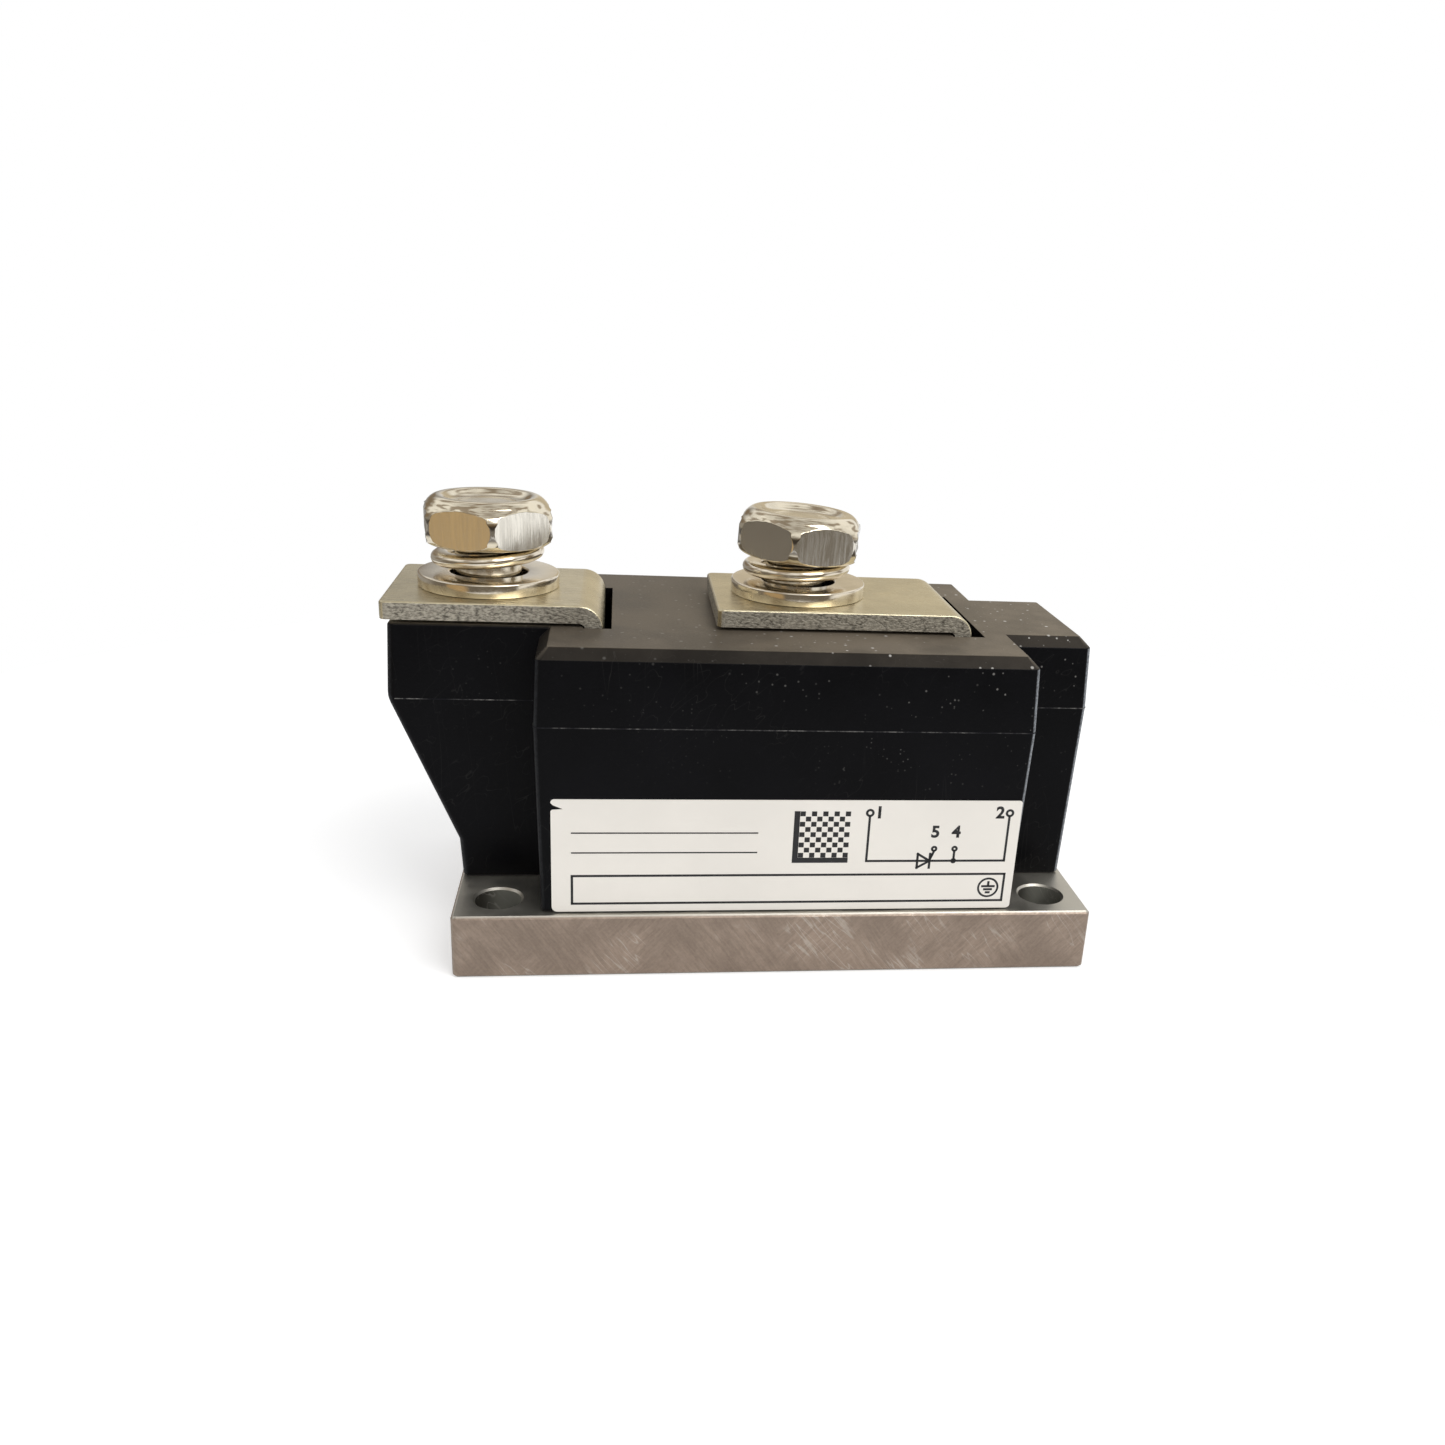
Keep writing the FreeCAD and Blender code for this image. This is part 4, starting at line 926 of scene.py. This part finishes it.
def earth_sign(x, z):
    """Protective earth: a short stem and three bars inside a circle."""
    return [ring(x, z, 1.45, 0.3), stroke(x, z + 0.85, x, z + 0.2), stroke(x - 0.85, z + 0.2, x + 0.85, z + 0.2),
            stroke(x - 0.5, z - 0.3, x + 0.5, z - 0.3), stroke(x - 0.2, z - 0.8, x + 0.2, z - 0.8)]


def check_field(left, low, side, count):
    """Square field of plain checks, with a solid left edge and foot."""
    step = side / count
    marks = [block(left, low, left + step, low + side), block(left + step, low, left + side, low + step)]
    gap, inner = 0.04 * step, 0.92 * step
    for i in range(1, count):
        for j in range(1, count):
            if (i + j) % 2 == 0:
                x, z = left + i * step + gap, low + j * step + gap
                marks.append(block(x, z, x + inner, z + inner))
    return marks


class THYRISTOR_OT_label(bpy.types.Operator):
    """Model the label and its print: ruled lines, a check field, the circuit, an empty box and the earth sign"""
    bl_idname = "thyristor.label"
    bl_label = "Label"

    def execute(self, context):
        s = settings("label")
        left, right, low, high = -29.5, 32.4, 1.15, 5.45
        marks = [stroke(left, low, right, low), stroke(left, high, right, high), stroke(left, low, left, high),
                 stroke(right, low, right, high)]
        marks += [stroke(left, z, -4.0, z, 0.2) for z in (9.0, 12.0)]
        marks += check_field(1.05, 7.35, 8.0, s.checks) + circuit() + earth_sign(30.15, 3.25)
        flat = join("label_print", marks)
        modify(flat, "SOLIDIFY", thickness=s.ink, offset=0.0)
        paper = modify(sticker_outline(), "SOLIDIFY", thickness=s.paper, offset=-1.0)
        draft = math.atan2(s.draft_run, s.draft_rise)
        face = Matrix.Translation((0, s.foot_y, s.foot_z)) @ Matrix.Rotation(draft, 4, "X")
        place(paper, face)
        place(flat, face @ Matrix.Translation((0, -s.paper - 0.3 * s.ink, 0)))
        finished(smooth(paper), "label_stock", "label")
        finished(flat, "label_stock", look="label_ink")
        return {"FINISHED"}


class THYRISTOR_OT_housing(bpy.types.Operator):
    """Soften the moulded housing's edges and raise the flash along its parting line"""
    bl_idname = "thyristor.housing"
    bl_label = "Housing"

    def execute(self, context):
        s = settings("shell")
        shell = stripped_copy("housing", "moulded_housing")
        flash = stripped_copy("housing", "parting_flash")
        pick(shell, "vertices", lambda v: abs(v.co.x - s.slot_end) < NEAR and v.co.z > s.slot_foot
             and abs(v.co.y) < s.slot_reach)
        with editing(shell):
            bpy.ops.transform.translate(value=(s.slot_play, 0, 0))
        modify(shell, "BEVEL", width=s.softness, segments=3, limit_method="ANGLE", angle_limit=math.radians(28),
               use_clamp_overlap=True)
        modify(smooth(shell, 40), "WEIGHTED_NORMAL", weight=80, keep_sharp=True)
        finished(shell, "black_housing", "housing")

        verts = flash.data.vertices
        pick(flash, "edges", lambda e: any(abs(verts[i].co.z - s.seam) > 0.02 * MM for i in e.vertices))
        with editing(flash, "EDGE"):
            bpy.ops.mesh.delete(type="EDGE")
        activate(flash)
        bpy.ops.object.convert(target="CURVE")
        flash = context.object
        flash.data.bevel_depth = s.flash
        flash.data.bevel_resolution = 1
        bpy.ops.object.convert(target="MESH")
        flash = context.object
        with editing(flash):
            weld()
        finished(smooth(flash, 60), "black_housing", look="mould_flash")
        dress("adhesive_seal")
        return {"FINISHED"}


class THYRISTOR_OT_base_and_plates(bpy.types.Operator):
    """Finish the baseplate, the busbars and the captive nuts"""
    bl_idname = "thyristor.base_and_plates"
    bl_label = "Baseplate and Busbars"

    def execute(self, context):
        dress("baseplate", "anode_busbar", "cathode_busbar", "anode_terminal_nut", "cathode_terminal_nut")
        return {"FINISHED"}


class THYRISTOR_OT_inner_pieces(bpy.types.Operator):
    """Finish the pressure stack, the gate contact, the clamp and the control leads"""
    bl_idname = "thyristor.inner_pieces"
    bl_label = "Inner Pieces"

    def execute(self, context):
        left = [name for name, obj in frame["nodes"].items()
                if not any(m.name.startswith("finish_") for m in obj.data.materials)]
        dress(*left)
        return {"FINISHED"}


# Stage

FLOOR_RADIUS, FLOOR_BORDER = 0.20, 0.08
GLOW_SEEN, GLOW_MIRRORED = 0.4, 0.15
LAMP_PLACE, LAMP_SIZE = (0.5, -0.7, 0.9), 0.8
WHITE = (1.0, 1.0, 1.0)
ROOM_SHADE = (0.20, 0.14, 0.08)
# Cards that glossy surfaces find round the camera: direction, cosines of their inner and outer edge, colour
CARDS = (
    ((0.96, -0.24, -0.15), 0.94, 0.88, WHITE),
    ((-0.73, -0.66, -0.17), 0.97, 0.93, (0.46, 0.33, 0.175)),
    ((0.22, 0.95, 0.20), 0.985, 0.94, (0.60, 0.53, 0.41)),
)


def ray_kinds(tree):
    """The kinds of ray, and whether one comes from the camera, straight or through a clear piece."""
    path = add(tree, "LightPath").outputs
    return path, maths(tree, "ADD", path["Is Camera Ray"], path["Is Transmission Ray"], clamp=True)


def lay_floor(s):
    """Pale round floor that shows white to the camera and keeps the object's shadow."""
    deselect()
    bpy.ops.mesh.primitive_circle_add(vertices=96, radius=FLOOR_RADIUS, fill_type="NGON",
                                      location=(0, 0, -0.02 * MM))
    floor = named("floor")
    with editing(floor, "FACE", whole=True):
        bpy.ops.mesh.inset(thickness=FLOOR_BORDER)
    settle(floor)
    material, tree, shader = new_finish("floor")
    shader.inputs["Roughness"].default_value = 0.9
    shader.inputs["Specular IOR Level"].default_value = 0.1
    shader.inputs["Emission Color"].default_value = (1, 1, 1, 1)
    cloud = mask(tree, "Mottle", scale=6.0, spread=0.3)
    tree.links.new(blend(tree, cloud, dim(s.floor, 0.99), s.floor), shader.inputs["Base Color"])
    path, seen = ray_kinds(tree)
    glow = plus(tree, times(tree, seen, GLOW_SEEN), times(tree, path["Is Glossy Ray"], GLOW_MIRRORED))
    tree.links.new(glow, shader.inputs["Emission Strength"])
    floor.data.materials.append(material)


def hang_surround(s):
    """White to the camera, and to glossy surfaces a bright room with darker patches and cards."""
    world = bpy.data.worlds.new("surround")
    bpy.context.scene.world = world
    world.use_nodes = True
    tree = world.node_tree
    light = tree.nodes["Background"]
    way = add(tree, "TexCoord").outputs["Generated"]
    direction = axes(tree, "Generated")
    above = times(tree, ramp(tree, direction["Z"], 0.2, 0.55), ramp(tree, direction["Z"], 0.7, 0.95, 1.0, 0.6))
    behind = times(tree, ramp(tree, direction["Y"], -0.1, 0.5), ramp(tree, direction["X"], -0.22, 0.08, 0.2, 1.0))
    room = add(tree, "TexNoise", {"Vector": way, "Scale": 3.2, "Detail": 1.0}).outputs[0]
    patches = times(tree, ramp(tree, room, 0.47, 0.6), ramp(tree, direction["Z"], 0.0, 0.15, 0.0, 0.75))
    tent = blend(tree, highest(tree, above, behind), s.dark_side, WHITE)
    tent = blend(tree, patches, tent, ROOM_SHADE)
    for toward, inner, outer, tone in CARDS:
        share = add(tree, "VectorMath", {0: way, 1: toward}, operation="DOT_PRODUCT").outputs["Value"]
        tent = blend(tree, ramp(tree, share, outer, inner), tent, tone)
    path, seen = ray_kinds(tree)
    seen = maths(tree, "ADD", seen, path["Is Glossy Ray"], clamp=True)
    tree.links.new(between(tree, seen, s.fill, 1.0), light.inputs["Strength"])
    tree.links.new(blend(tree, path["Is Glossy Ray"], WHITE, tent), light.inputs["Color"])


def hang_lamp(s):
    """One large soft lamp, high on the right, that faces the object."""
    bpy.ops.object.light_add(type="AREA", location=LAMP_PLACE)
    lamp = bpy.context.object
    lamp.name = "key_softbox"
    lamp.data.shape, lamp.data.size, lamp.data.energy = "SQUARE", LAMP_SIZE, s.key_power
    lamp.rotation_euler = Vector(lamp.location).to_track_quat("Z", "Y").to_euler()


def aim_camera(s):
    """Camera where the photograph was taken from."""
    bpy.ops.object.camera_add()
    camera = bpy.context.object
    camera.name = "photo_camera"
    camera.matrix_world = (Matrix.Translation(s.camera_place) @ Matrix.Rotation(s.camera_turn, 4, "Z")
                           @ Matrix.Rotation(math.pi / 2 - s.camera_pitch, 4, "X")
                           @ Matrix.Rotation(s.camera_roll, 4, "Z"))
    camera.data.sensor_width = 36.0
    camera.data.lens = s.lens
    camera.data.shift_x, camera.data.shift_y = s.shift_x, s.shift_y
    camera.data.clip_start = 0.005
    bpy.context.scene.camera = camera


class THYRISTOR_OT_stage(bpy.types.Operator):
    """Set up the floor, the soft light, the white surround and the camera"""
    bl_idname = "thyristor.stage"
    bl_label = "Stage"

    def execute(self, context):
        s = settings("stage")
        lay_floor(s)
        hang_surround(s)
        hang_lamp(s)
        aim_camera(s)
        context.scene.view_settings.view_transform = "Standard"
        return {"FINISHED"}


class THYRISTOR_PT_panel(bpy.types.Panel):
    """Sidebar list of the module's pieces and their sizes"""
    bl_idname = "THYRISTOR_PT_panel"
    bl_label = "Thyristor Module"
    bl_space_type = "VIEW_3D"
    bl_region_type = "UI"
    bl_category = "Thyristor"

    def draw(self, context):
        for operator in OPERATORS:
            self.layout.operator(operator.bl_idname)
        for name, group in SETTINGS.items():
            box = self.layout.box()
            box.label(text=name.title())
            for field in group.__annotations__:
                box.prop(settings(name), field)


SETTINGS = {"bolt": BoltSizes, "washer": WasherSizes, "label": LabelSizes, "shell": ShellSizes,
            "colours": FinishColours, "stage": StageSettings}
OPERATORS = (THYRISTOR_OT_bolts, THYRISTOR_OT_washers, THYRISTOR_OT_label, THYRISTOR_OT_housing,
             THYRISTOR_OT_base_and_plates, THYRISTOR_OT_inner_pieces, THYRISTOR_OT_stage)


def register():
    for each in (*SETTINGS.values(), *OPERATORS, THYRISTOR_PT_panel):
        bpy.utils.register_class(each)
    for name, group in SETTINGS.items():
        setattr(bpy.types.Scene, "thyristor_" + name, bpy.props.PointerProperty(type=group))


def unregister():
    for name in SETTINGS:
        delattr(bpy.types.Scene, "thyristor_" + name)
    for each in reversed((*SETTINGS.values(), *OPERATORS, THYRISTOR_PT_panel)):
        bpy.utils.unregister_class(each)


def main():
    register()
    for operator in OPERATORS:
        getattr(bpy.ops.thyristor, operator.bl_idname.split(".")[1])()


if __name__ == "__main__":
    main()
